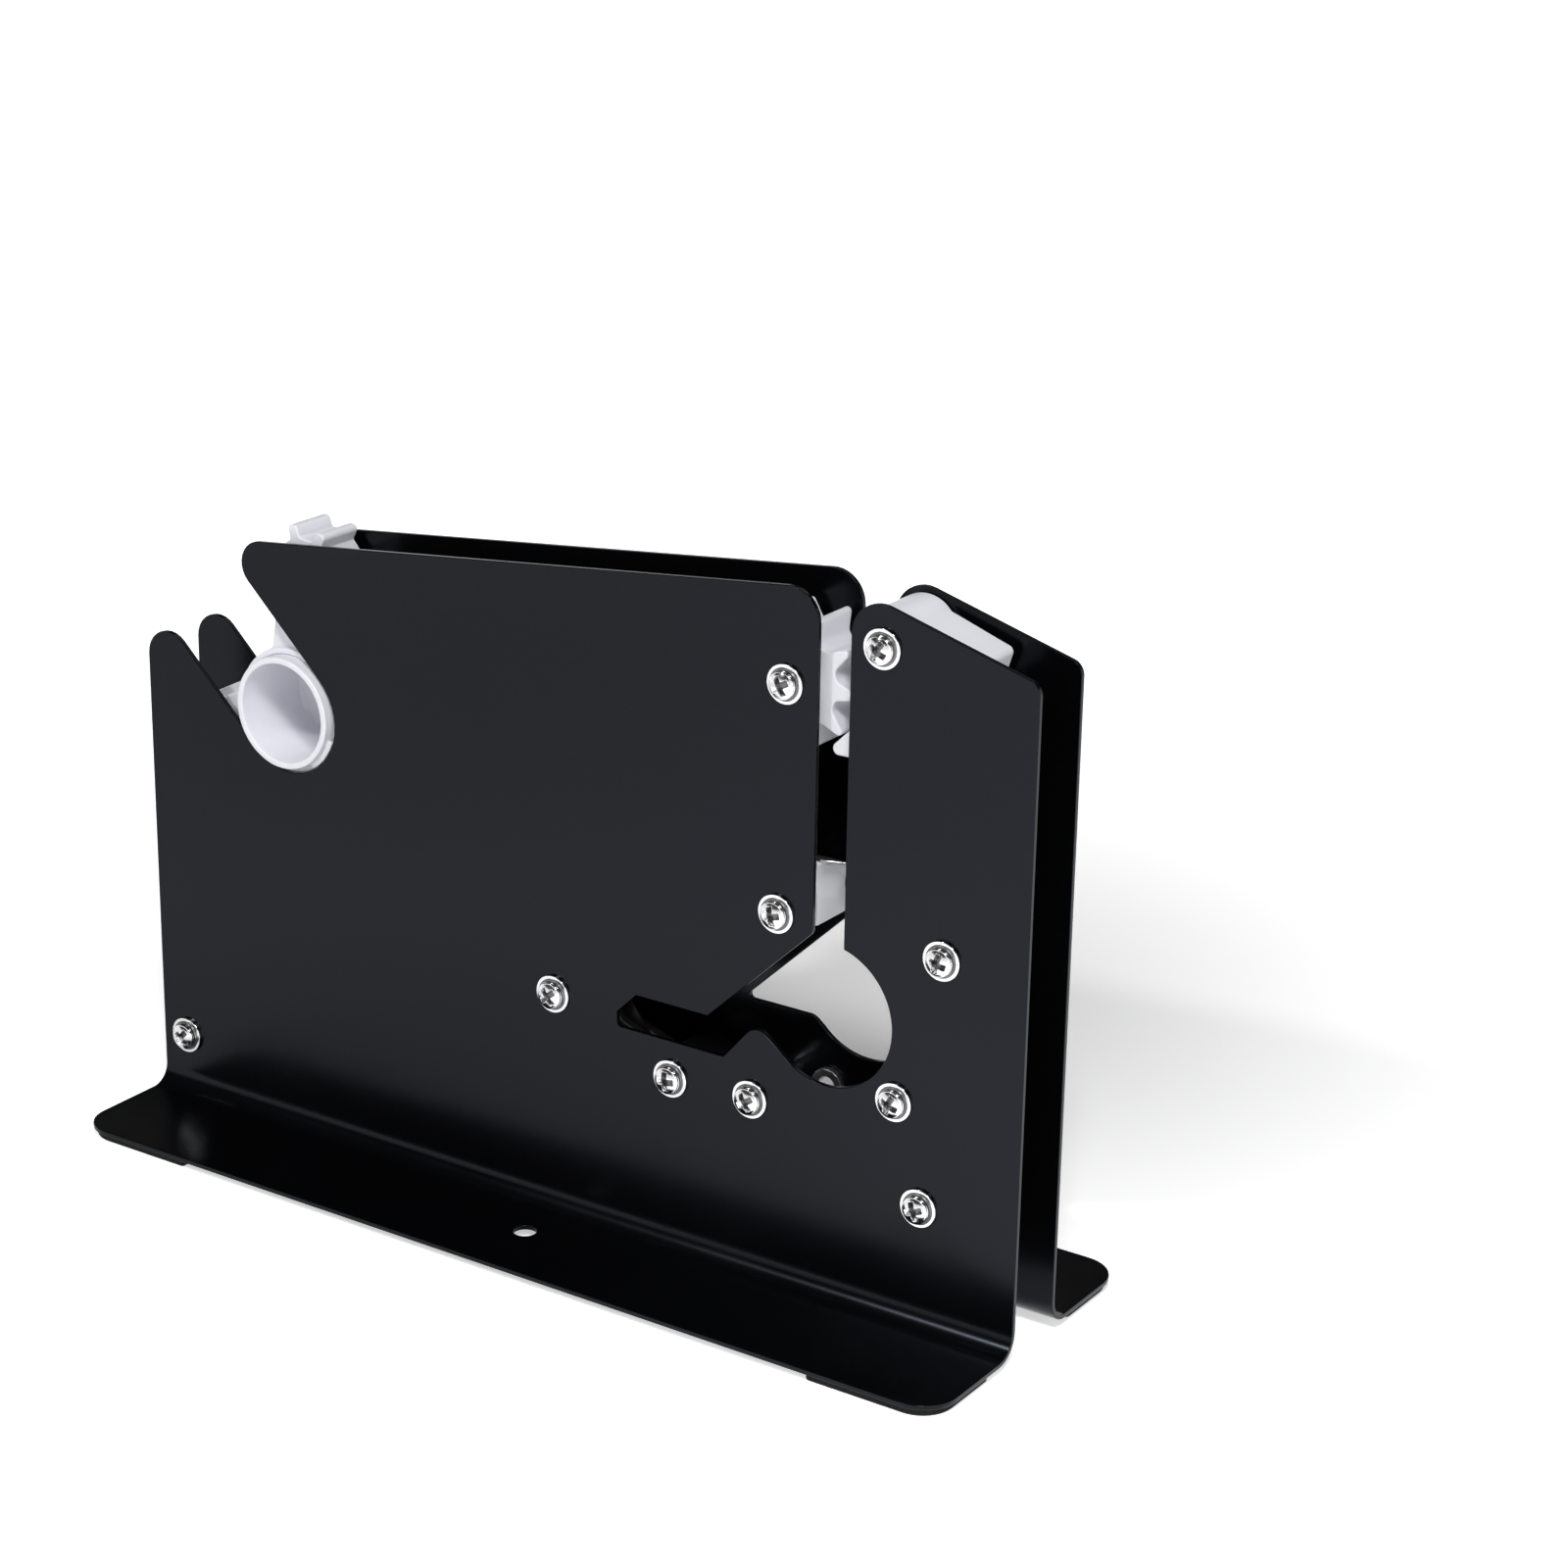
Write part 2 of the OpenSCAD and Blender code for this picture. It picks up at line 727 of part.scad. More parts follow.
// Toothed wheel: tip and gullet arcs joined by their common tangents
half_pitch = 180 / wheel_teeth;
tip_c = [wheel_tip_r - tooth_tip_r, 0];
gullet_c = (wheel_root_r + gullet_r) * [cos(half_pitch), sin(half_pitch)];
tooth_span = gullet_c - tip_c;
flank = atan2(tooth_span[1], tooth_span[0]) - acos((tooth_tip_r + gullet_r) / norm(tooth_span));
tooth_points = concat(
    arc(tip_c, tooth_tip_r, -flank, flank, arc_steps),
    arc(gullet_c, gullet_r, flank + 180, 2 * half_pitch + 180 - flank, arc_steps)
);

module upper_wheel() {
    color(plastic_white)
        placed()
            difference() {
                union() {
                    slab(-half_tape, half_tape)
                        translate(wheel_c)
                            polygon([for (i = [0:wheel_teeth - 1])
                                for (p = tooth_points)
                                    turned(p, wheel_turn + 2 * half_pitch * i)]);
                    bar(wheel_c, wheel_boss_r, -half_boss, half_boss);
                }
                bar(wheel_c, spacer_r + running_fit, -half_gap, half_gap);
            }
}

// Presser arm: the places of its nose, its elbow, its brow and its spring pin
nose_out = wheel_tip_r + nose_gap + nose_r;
nose_c = wheel_c + nose_out * [cos(nose_angle), -sin(nose_angle)];
elbow_c = [throat_right + leg_back + leg_w / 2, nose_c[1] - nose_r + leg_w / 2];
brow_c = elbow_c + [0, brow_rise];
pin_p = tail_top - pin_drop;
pin_a = (post_c[0] - arm_c[0] - pin_p * sin(tail_tilt)) / cos(tail_tilt);
pin_c = arm_c + turned([pin_a, pin_p], -tail_tilt);

// Flat bar with round ends of radius r0 at a and r1 at b
module link(a, b, r0, r1) {
    along = unit(b - a);
    side = [-along[1], along[0]];
    translate(a)
        circle(r = r0);
    translate(b)
        circle(r = r1);
    polygon([a + r0 * side, b + r1 * side, b - r1 * side, a - r0 * side]);
}

module tail_outline() {
    low = tail_top - tail_h;
    translate(arm_c)
        rotate(-tail_tilt)
            polygon(rounded([
                [0, tail_top, 0],
                [tail_len, tail_top, tail_r],
                [tail_len, low, tail_r],
                [0, low, 0]
            ]));
}

// Slot in the tail for the spring's upper hook, open downwards
module hook_pocket() {
    room = pin_r + wire_d + 2 * seat_gap;
    width = wire_d + 2 * seat_gap;
    slab(-width / 2, width / 2)
        translate(pin_c) {
            circle(r = room);
            translate([-room, -tail_h])
                square([2 * room, tail_h]);
        }
}

module presser_arm() {
    color(plastic_white)
        placed()
            difference() {
                union() {
                    slab(-half_tape, half_tape) {
                        tail_outline();
                        link([elbow_c[0], arm_c[1]], elbow_c, leg_w / 2, leg_w / 2);
                        link(elbow_c, nose_c, leg_w / 2, nose_r);
                        link(brow_c, nose_c, leg_w / 2, nose_r);
                    }
                    bar(arm_c, arm_head_r, -half_boss, half_boss);
                }
                bar(arm_c, spacer_r + running_fit, -half_gap, half_gap);
                bar(pin_c, pin_r + running_fit, -half_gap, half_gap);
                hook_pocket();
            }
}

module spring_pin() {
    color(steel)
        placed()
            bar(pin_c, pin_r, -half_tape, half_tape);
}

// Spacer with a groove in the middle for the spring's lower hook
module spring_post() {
    groove_half = wire_r + seat_gap;
    color(zinc)
        placed()
            difference() {
                union() {
                    bar(post_c, spacer_r, -half_gap, -groove_half);
                    bar(post_c, groove_r, -half_gap, half_gap);
                    bar(post_c, spacer_r, groove_half, half_gap);
                }
                spacer_bores(post_c);
            }
}

// Tension spring: upper hook, lead, bend, curls, bend, lead and lower hook, each point
// with the direction that points away from the middle of its curl
top_hook_r = pin_r + seat_gap + wire_r;
low_hook_r = groove_r + seat_gap + wire_r;
coil_r = low_hook_r;
coil_pitch = wire_d + coil_gap;
coil_h = coil_pitch * coil_turns;
bend_r = 2 * wire_d;
bend_turn = bend_r / coil_r * 180 / PI;
coil_top = (pin_c[1] + post_c[1] + coil_h) / 2;
coil_low = coil_top - coil_h;
curl_steps = coil_turns * curl_rings;
hook_turn = 210;
full_turn = 360 * coil_turns;

function around(t, z) = [[post_c[0] + coil_r * cos(t), -coil_r * sin(t), z], [cos(t), -sin(t), 0]];
function hook(c, r, t) = [[c[0] + r * cos(t), 0, c[1] + r * sin(t)], [cos(t), 0, sin(t)]];

spring_path = concat(
    [for (i = [0:hook_steps]) hook(pin_c, top_hook_r, hook_turn * (1 - i / hook_steps))],
    [for (t = [0, 30, 60]) around(bend_turn * (1 - cos(t)), coil_top + bend_r * (1 - sin(t)))],
    [for (i = [0:curl_steps])
        around(bend_turn + (full_turn - 2 * bend_turn) * i / curl_steps, coil_top - coil_h * i / curl_steps)],
    [for (t = [60, 30, 0])
        around(full_turn - bend_turn * (1 - cos(t)), coil_low - bend_r * (1 - sin(t)))],
    [for (i = [0:hook_steps]) hook(post_c, low_hook_r, -hook_turn * i / hook_steps)]
);
spring_rings = len(spring_path);

// Least gap of the spring to itself, from points at least most of a curl apart
echo(least_spring_gap = min([for (i = [0:spring_rings - 1])
    for (j = [i + curl_rings - 2:1:min(i + 3 * curl_rings, spring_rings - 1)])
        norm(spring_path[i][0] - spring_path[j][0])]) - wire_d);

function ring_at(k) =
    let(
        last = spring_rings - 1,
        ahead = spring_path[min(k + 1, last)][0],
        behind = spring_path[max(k - 1, 0)][0],
        along = unit(ahead - behind),
        side = unit(cross(along, spring_path[k][1])),
        up = cross(side, along)
    )
    [for (j = [0:wire_sides - 1])
        let(t = 360 * j / wire_sides)
        spring_path[k][0] + wire_r * (cos(t) * up + sin(t) * side)];

module presser_spring() {
    end = (spring_rings - 1) * wire_sides;
    faces = concat(
        [for (k = [0:spring_rings - 2], j = [0:wire_sides - 1])
            let(
                a = k * wire_sides + j,
                b = k * wire_sides + (j + 1) % wire_sides
            )
            each [[a, b + wire_sides, b], [a, a + wire_sides, b + wire_sides]]],
        [for (j = [1:wire_sides - 2]) [0, j, j + 1]],
        [for (j = [1:wire_sides - 2]) [end, end + j + 1, end + j]]
    );
    color(steel)
        placed()
            polyhedron(points = [for (k = [0:spring_rings - 1]) each ring_at(k)], faces = faces);
}

// Moves children onto the block's slanted top, z = 0 on the top
module on_block_top() {
    translate([0, 0, block_top_z])
        rotate([-block_slant, 0, 0])
            children();
}

// The two small screws, seen from above the block
blade_tip_x = throat_x + block_back;
blade_screws = [for (side = [-1, 1]) [blade_tip_x - blade_len + small_head_d, side * tape_w / 4]];

// Hollow in the block's face beside the throat, along the slanted top
module scoop(face_x) {
    scoop_r = (scoop_h * scoop_h / 4 + scoop_depth * scoop_depth) / (2 * scoop_depth);
    translate([face_x + scoop_r - scoop_depth, tape_w, -scoop_h / 2 - blade_t])
        rotate([90, 0, 0])
            cylinder(r = scoop_r, h = 2 * tape_w);
}

module cutter_block() {
    face_x = throat_x - block_back;
    left_x = face_x - block_w;
    cover_z = block_top_z + tape_w;
    color(plastic_white)
        placed()
            difference() {
                union() {
                    slab(-half_tape, half_tape)
                        polygon([
                            [left_x, block_c[1]],
                            [face_x - block_foot_w, block_c[1]],
                            [face_x - block_foot_w, block_foot_z],
                            [face_x, block_foot_z],
                            [face_x, cover_z],
                            [left_x, cover_z]
                        ]);
                    bar(block_c, block_boss_r, -half_gap, half_gap);
                }
                bar(block_c, spacer_r + running_fit, -half_gap - overrun, half_gap + overrun);
                on_block_top() {
                    translate([left_x - overrun, -tape_w, 0])
                        cube([block_w + 2 * overrun, 2 * tape_w, 2 * tape_w]);
                    scoop(face_x);
                    for (c = blade_screws)
                        translate([c[0], c[1], -small_screw_grip - bore_spare])
                            cylinder(r = small_screw_d / 2 + running_fit, h = small_screw_grip + tape_w);
                }
            }
}

module tape_blade() {
    step = tape_w / blade_teeth;
    color(steel)
        placed()
            on_block_top()
                linear_extrude(blade_t)
                    difference() {
                        polygon(concat(
                            [[blade_tip_x - blade_len, -half_tape]],
                            [for (i = [0:blade_teeth - 1]) each [
                                [blade_tip_x - blade_tooth, step * i - half_tape],
                                [blade_tip_x, step * (i + 1 / 2) - half_tape]
                            ]],
                            [[blade_tip_x - blade_tooth, half_tape], [blade_tip_x - blade_len, half_tape]]
                        ));
                        for (c = blade_screws)
                            translate(c)
                                circle(r = small_screw_d / 2 + running_fit);
                    }
}

module tape_blade_screws() {
    color(zinc)
        placed()
            on_block_top()
                for (c = blade_screws)
                    translate([c[0], c[1], blade_t])
                        screw(small_screw_d, small_head_d, small_head_h, blade_t + small_screw_grip,
                            recess_w / 2, recess_len / 2, small_head_h / 2);
}

// Trimming blade: its cutting edge runs from edge_low to edge_high across the side slot
edge_low = [side_slot_x + trim_in, side_slot_low - trim_low];
edge_high = [side_slot_x - trim_back, side_slot_high + trim_high];
edge_along = unit(edge_high - edge_low);
edge_back = [-edge_along[1], edge_along[0]];
peg_c = edge_low + (edge_along * trim_w + edge_back * (trim_w + trim_bare)) / 2;

// Strip of the blade between two depths behind its edge
function trim_strip(near, far) = [
    edge_low + near * edge_back,
    edge_high + near * edge_back,
    edge_high + far * edge_back,
    edge_low + far * edge_back
];

module trim_blade() {
    color(plastic_black)
        placed()
            slab(trim_y - trim_t / 2, trim_y + trim_t / 2)
                difference() {
                    polygon(trim_strip(0, trim_w));
                    translate(peg_c)
                        circle(r = peg_d / 2 + running_fit);
                }
}

// One half of the holder, with the given extents of its bar and of its bosses along Y
module holder_half(bar_y, boss_y) {
    difference() {
        union() {
            slab(bar_y[0], bar_y[1]) {
                link(holder_left_c, holder_right_c, holder_bar_w / 2, holder_bar_w / 2);
                polygon(trim_strip(trim_bare, trim_w));
            }
            for (c = [holder_left_c, holder_right_c])
                bar(c, holder_boss_r, boss_y[0], boss_y[1]);
        }
        for (c = [holder_left_c, holder_right_c])
            bar(c, spacer_r + running_fit, -half_gap - overrun, half_gap + overrun);
    }
}

peg_end = trim_y + (trim_t + holder_t) / 2;

module trim_holder_front() {
    inner = trim_y - trim_t / 2;
    color(plastic_black)
        placed() {
            holder_half([-half_boss, inner], [-half_gap, inner]);
            bar(peg_c, peg_d / 2, -half_boss, peg_end);
        }
}

module trim_holder_rear() {
    inner = trim_y + trim_t / 2;
    color(plastic_black)
        placed()
            difference() {
                holder_half([inner, inner + holder_t], [inner, half_gap]);
                bar(peg_c, peg_d / 2 + running_fit, inner - overrun, peg_end + bore_spare);
            }
}

// Bushing pressed into the rear plate from the inside
module rear_bushing() {
    color(zinc)
        placed()
            difference() {
                union() {
                    bar(bushing_c, bushing_d / 2, half_gap - bushing_t, half_gap);
                    bar(bushing_c, collar_d / 2, half_gap - bushing_t, outer_y);
                }
                bar(bushing_c, bushing_bore / 2, half_gap - bushing_t - overrun, outer_y + overrun);
            }
}

module front_plate() {
    color(paint_black)
        placed()
            side_plate(front_lower);
}

module rear_plate() {
    color(paint_black)
        placed()
            difference() {
                mirror([0, 1, 0])
                    side_plate(rear_lower);
                bar(bushing_c, collar_d / 2 + running_fit, half_gap - overrun, outer_y + overrun);
            }
}

module foot_pad_front_left() {
    placed()
        foot_pad();
}

module foot_pad_front_right() {
    mirror([1, 0, 0])
        foot_pad_front_left();
}

module foot_pad_rear_left() {
    mirror([0, 1, 0])
        foot_pad_front_left();
}

module foot_pad_rear_right() {
    mirror([0, 1, 0])
        foot_pad_front_right();
}

module front_screws() {
    placed()
        plate_screws();
}

module rear_screws() {
    placed()
        mirror([0, 1, 0])
            plate_screws();
}

module front_washers() {
    placed()
        plate_washers();
}

module rear_washers() {
    placed()
        mirror([0, 1, 0])
            plate_washers();
}

module upper_wheel_axle() {
    placed()
        spacer(wheel_c);
}

module presser_arm_axle() {
    placed()
        spacer(arm_c);
}

module cutter_block_spacer() {
    placed()
        spacer(block_c);
}

module trim_holder_left_spacer() {
    placed()
        spacer(holder_left_c);
}

module trim_holder_right_spacer() {
    placed()
        spacer(holder_right_c);
}

module lower_left_spacer() {
    placed()
        spacer(corner_left_c);
}

module hump_spacer() {
    placed()
        spacer(hump_spacer_c);
}

module opening_spacer() {
    placed()
        spacer(opening_spacer_c);
}

module lower_right_spacer() {
    placed()
        spacer(corner_right_c);
}

front_plate();
rear_plate();
foot_pad_front_left();
foot_pad_front_right();
foot_pad_rear_left();
foot_pad_rear_right();
hub_tube();
tape_hub();
upper_wheel();
upper_wheel_axle();
presser_arm();
presser_arm_axle();
spring_pin();
presser_spring();
spring_post();
cutter_block();
cutter_block_spacer();
tape_blade();
tape_blade_screws();
trim_holder_front();
trim_holder_rear();
trim_blade();
trim_holder_left_spacer();
trim_holder_right_spacer();
lower_left_spacer();
hump_spacer();
opening_spacer();
lower_right_spacer();
rear_bushing();
front_screws();
rear_screws();
front_washers();
rear_washers();
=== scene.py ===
import json
from math import radians

import bmesh
import bpy
import numpy as np
from mathutils import Matrix, Vector


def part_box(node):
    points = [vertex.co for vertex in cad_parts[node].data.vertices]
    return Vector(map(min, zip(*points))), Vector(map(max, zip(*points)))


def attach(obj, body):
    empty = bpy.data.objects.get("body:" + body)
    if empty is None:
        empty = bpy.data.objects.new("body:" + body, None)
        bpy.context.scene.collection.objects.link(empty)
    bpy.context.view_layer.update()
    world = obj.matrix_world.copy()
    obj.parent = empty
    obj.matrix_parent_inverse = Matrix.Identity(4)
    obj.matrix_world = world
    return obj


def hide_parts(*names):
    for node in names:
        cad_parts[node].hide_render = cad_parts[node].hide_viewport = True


bl_info = {
    "name": "Bag Neck Sealer",
    "version": (1, 0, 0),
    "blender": (4, 5, 0),
    "location": "3D View > Sidebar > Sealer",
    "description": "Finishes, rounded edges, screws and spring of the bag sealing tape dispenser",
    "category": "Object",
}

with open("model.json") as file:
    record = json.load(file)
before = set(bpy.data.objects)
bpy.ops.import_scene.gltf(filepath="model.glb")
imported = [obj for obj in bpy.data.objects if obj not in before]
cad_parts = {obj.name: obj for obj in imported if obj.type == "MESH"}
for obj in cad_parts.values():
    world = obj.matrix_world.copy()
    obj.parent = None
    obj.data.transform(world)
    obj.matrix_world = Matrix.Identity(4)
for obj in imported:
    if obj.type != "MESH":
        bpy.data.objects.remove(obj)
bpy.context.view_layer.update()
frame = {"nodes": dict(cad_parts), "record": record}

MM = 0.001

# Bodies and finishes of the pieces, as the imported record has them
RECORD = frame["record"]
BODY_OF = {node: body for body, nodes in RECORD["behaviour"]["bodies"].items() for node in nodes}
SLOT_OF = {row["node"]: row["material_slot"] for row in RECORD["subparts"]}

# Places of the plate screws along X and Z, in millimetres
SCREW_PLACES = np.array([
    (62.4, 146.0),
    (86.8, 158.5),
    (61.1, 92.5),
    (103.9, 91.6),
    (-0.7, 58.0),
    (32.9, 45.3),
    (-117.1, 17.8),
    (54.9, 46.0),
    (92.9, 55.5),
    (100.1, 31.8),
])

# Turns of the screws' cross recesses, in degrees
SCREW_TURNS = (28, 60, 12, 75, 40, 5, 52, 33, 68, 20)

# Distance of the washers' tops from the middle plane, in millimetres
WASHER_TOP = 10.2

# Pan head below its rim: share of the radius, share of the height and mark of the faces under each row.
# A mark of 1 paints the groove under the head and the thin lip round the spring washer in darker zinc as
# painted shade
HEAD_PROFILE = np.array([
    (0.93, 0.3, 1),
    (0.85, 0.27, 1),
    (0.85, 0.2, 1),
    (1.01, 0.18, 0),
    (1.01, 0.05, 1),
    (1.08, 0.03, 1),
    (1.08, 0, 0),
    (0, 0, 0),
])

# Top of the cutter block in millimetres: height at the middle, slope, blade and places of its two screws
BLOCK_TOP = 103.3
BLOCK_SLANT = radians(20)
BLADE_THICKNESS = 0.6
BLADE_SCREWS = ((58.8, -3.1), (58.8, 3.1))

# Tension spring in millimetres: its wire, the gap inside its hooks, radii of its pin and its post
WIRE = 0.7
HOOK_GAP = 0.3
PIN_RADIUS = 1.5
POST_RADIUS = 2

# Number of the spring's curls, their pitch in millimetres and the angle that each hook takes
CURLS = 24
CURL_PITCH = 1.25
HOOK_TURN = radians(210)

# Distance in metres at which points of a solid or a new surface are joined, the angle up to which
# faces count as one flat face, and the angles from which edges count as sharp
SOLID_WELD = 0.000001
SURFACE_WELD = 0.0000005
FLAT_ANGLE = radians(1)
SOLID_SHARP = radians(30)
SURFACE_SHARP = radians(38)

# Range in which a noise texture mostly lies
NOISE_LOW = 0.25
NOISE_HIGH = 0.75

# Lights: name, place and side, in metres, and the point that all of them face
LIGHTS = (
    ("key", (0.5255, -0.628, 1.032), 0.2),
    ("front", (-0.35, -0.8, 0.85), 0.06),
    ("back", (-0.1, 0.8, 1.1), 0.6),
    ("side", (1.1, -0.45, 0.45), 0.6),
)
LIGHT_AIM = (0, 0, 0.08)

# Sky by the upward share of its direction: end of the pale wall, start of the dark and of the ceiling
WALL_END = 0.2
DARK_START = 0.28
DARK_LEVEL = 0.012
CEILING_START = 0.55

# Half of the floor's side, in metres
FLOOR_HALF = 12

# Width of the camera's sensor in millimetres, and the nearest distance it sees in metres
SENSOR_WIDTH = 36
NEAREST = 0.01

# Rings on the floor: middle, near and far distance in metres, and levels at the near and far one.
# The first dims the glow round the object's shadow, a painted shadow on the floor; the others are
# dimmer parts of the glow that only gloss mirrors, painted reflections.
SHADOW_RING = ((-0.015, 0.145, 0), 0.04, 0.32, 0.15, 0.97)
NEAR_RING = ((-0.1, 0.1, 0), 0.15, 0.27, 0.3, 1)
LEFT_RING = ((-0.4, -0.25, 0), 0.15, 0.5, 0.33, 1)


class SealerFinishes(bpy.types.PropertyGroup):
    """Colours and gloss of the finishes."""

    paint: bpy.props.FloatVectorProperty(
        name="Black Paint", description="Colour of the powder coat on the plates",
        subtype="COLOR", size=3, min=0, max=1, default=(0.0014, 0.0015, 0.0019),
    )
    paint_gloss: bpy.props.FloatProperty(
        name="Paint Roughness", description="Roughness of the powder coat",
        subtype="FACTOR", min=0, max=1, default=0.215,
    )
    white_plastic: bpy.props.FloatVectorProperty(
        name="White Plastic", description="Colour of the hub, wheel, arm and cutter block",
        subtype="COLOR", size=3, min=0, max=1, default=(0.8, 0.805, 0.855),
    )
    black_plastic: bpy.props.FloatVectorProperty(
        name="Black Plastic", description="Colour of the trimming blade's holder",
        subtype="COLOR", size=3, min=0, max=1, default=(0.003, 0.003, 0.0033),
    )
    zinc: bpy.props.FloatVectorProperty(
        name="Zinc", description="Colour of screws, washers and spacers",
        subtype="COLOR", size=3, min=0, max=1, default=(0.8, 0.8, 0.81),
    )
    steel: bpy.props.FloatVectorProperty(
        name="Steel", description="Colour of the spring, its pin and the tape blade",
        subtype="COLOR", size=3, min=0, max=1, default=(0.56, 0.565, 0.58),
    )
    black_steel: bpy.props.FloatVectorProperty(
        name="Black Steel", description="Colour of the trimming blade",
        subtype="COLOR", size=3, min=0, max=1, default=(0.008, 0.008, 0.009),
    )
    foam: bpy.props.FloatVectorProperty(
        name="Foam", description="Colour of the foot pads",
        subtype="COLOR", size=3, min=0, max=1, default=(0.02, 0.02, 0.021),
    )


class SealerSizes(bpy.types.PropertyGroup):
    """Sizes of what the finished pieces add to the plain solids."""

    sheet_edge: bpy.props.FloatProperty(
        name="Sheet Edge", description="Rounding of the painted sheet's edges",
        subtype="DISTANCE", unit="LENGTH", min=0, max=0.0005, default=0.0002,
    )
    moulded_edge: bpy.props.FloatProperty(
        name="Moulded Edge", description="Rounding of the plastic pieces' edges",
        subtype="DISTANCE", unit="LENGTH", min=0, max=0.0008, default=0.0004,
    )
    metal_edge: bpy.props.FloatProperty(
        name="Metal Edge", description="Rounding of spacers and washers",
        subtype="DISTANCE", unit="LENGTH", min=0, max=0.0004, default=0.00018,
    )
    blade_edge: bpy.props.FloatProperty(
        name="Blade Edge", description="Rounding of the blades' edges",
        subtype="DISTANCE", unit="LENGTH", min=0, max=0.0001, default=0.00004,
    )
    foam_edge: bpy.props.FloatProperty(
        name="Foam Edge", description="Rounding of the foot pads",
        subtype="DISTANCE", unit="LENGTH", min=0, max=0.0009, default=0.0006,
    )
    thread_pitch: bpy.props.FloatProperty(
        name="Thread Pitch", description="Pitch of the plate screws' threads",
        subtype="DISTANCE", unit="LENGTH", min=0.0004, max=0.001, default=0.0007,
    )
    wire_sides: bpy.props.IntProperty(
        name="Wire Sides", description="Sides of the spring's wire", min=6, max=24, default=12,
    )


class SealerStudio(bpy.types.PropertyGroup):
    """Camera, lights, sky and floor."""

    camera_place: bpy.props.FloatVectorProperty(
        name="Camera", description="Place of the camera",
        subtype="TRANSLATION", unit="LENGTH", size=3, default=(0.4646, -0.6203, 0.3821),
    )
    azimuth: bpy.props.FloatProperty(
        name="Azimuth", description="Turn of the camera round the object, from the front",
        subtype="ANGLE", default=radians(33.364),
    )
    elevation: bpy.props.FloatProperty(
        name="Elevation", description="Height of the camera as an angle",
        subtype="ANGLE", default=radians(19.504),
    )
    roll: bpy.props.FloatProperty(
        name="Roll", description="Turn of the camera about its own axis",
        subtype="ANGLE", default=radians(1.06),
    )
    lens: bpy.props.FloatProperty(
        name="Lens", description="Focal length in millimetres on a sensor 36 mm wide",
        min=20, max=200, default=81.86,
    )
    key_power: bpy.props.FloatProperty(
        name="Key Light", description="Power of the light above the camera",
        min=0, max=60, default=8.8,
    )
    front_power: bpy.props.FloatProperty(
        name="Front Light", description="Power of the weak light in front on the left",
        min=0, max=60, default=3.6,
    )
    back_power: bpy.props.FloatProperty(
        name="Back Light", description="Power of the soft light behind",
        min=0, max=60, default=1,
    )
    side_power: bpy.props.FloatProperty(
        name="Side Light", description="Power of the soft light on the right",
        min=0, max=60, default=2.6,
    )
    sky: bpy.props.FloatProperty(
        name="Sky", description="Strength of the light from the ceiling",
        min=0, max=1, default=0.05,
    )
    floor: bpy.props.FloatVectorProperty(
        name="Floor", description="Colour of the floor",
        subtype="COLOR", size=3, min=0, max=1, default=(0.93, 0.93, 0.933),
    )


def finishes():
    """The scene's colours and gloss."""
    return bpy.context.scene.sealer_finishes


def sizes():
    """The scene's sizes of added detail."""
    return bpy.context.scene.sealer_sizes


def studio():
    """The scene's settings of camera, lights, sky and floor."""
    return bpy.context.scene.sealer_studio


class Tree:
    """Node tree of a material or a world, emptied and then filled with add."""

    def __init__(self, owner):
        owner.use_nodes = True
        self.tree = owner.node_tree
        self.tree.nodes.clear()

    def add(self, kind, settings=None, **sockets):
        """New node; sockets go by name with _ for a space, or by number as i0, i1 and so on."""
        node = self.tree.nodes.new(kind)
        for key, value in (settings or {}).items():
            setattr(node, key, value)
        for key, value in sockets.items():
            if key[0] == "i" and key[1:].isdigit():
                socket = node.inputs[int(key[1:])]
            else:
                socket = node.inputs[key.replace("_", " ")]
            if isinstance(value, bpy.types.NodeSocket):
                self.tree.links.new(value, socket)
            else:
                socket.default_value = value
        return node


def shade(tree, value, low, high):
    """Noise value brought to the range from low to high."""
    node = tree.add("ShaderNodeMapRange", i0=value, i1=NOISE_LOW, i2=NOISE_HIGH, i3=low, i4=high)
    return node.outputs[0]


def tinted(tree, value, colour, spread):
    """The colour, darker and lighter by the share spread as value goes from 0 to 1."""
    dark = tuple(c * (1 - spread) for c in colour) + (1,)
    light = tuple(min(1, c * (1 + spread)) for c in colour) + (1,)
    mix = tree.add("ShaderNodeMix", {"data_type": "RGBA"}, i0=value, i6=dark, i7=light)
    return mix.outputs[2]


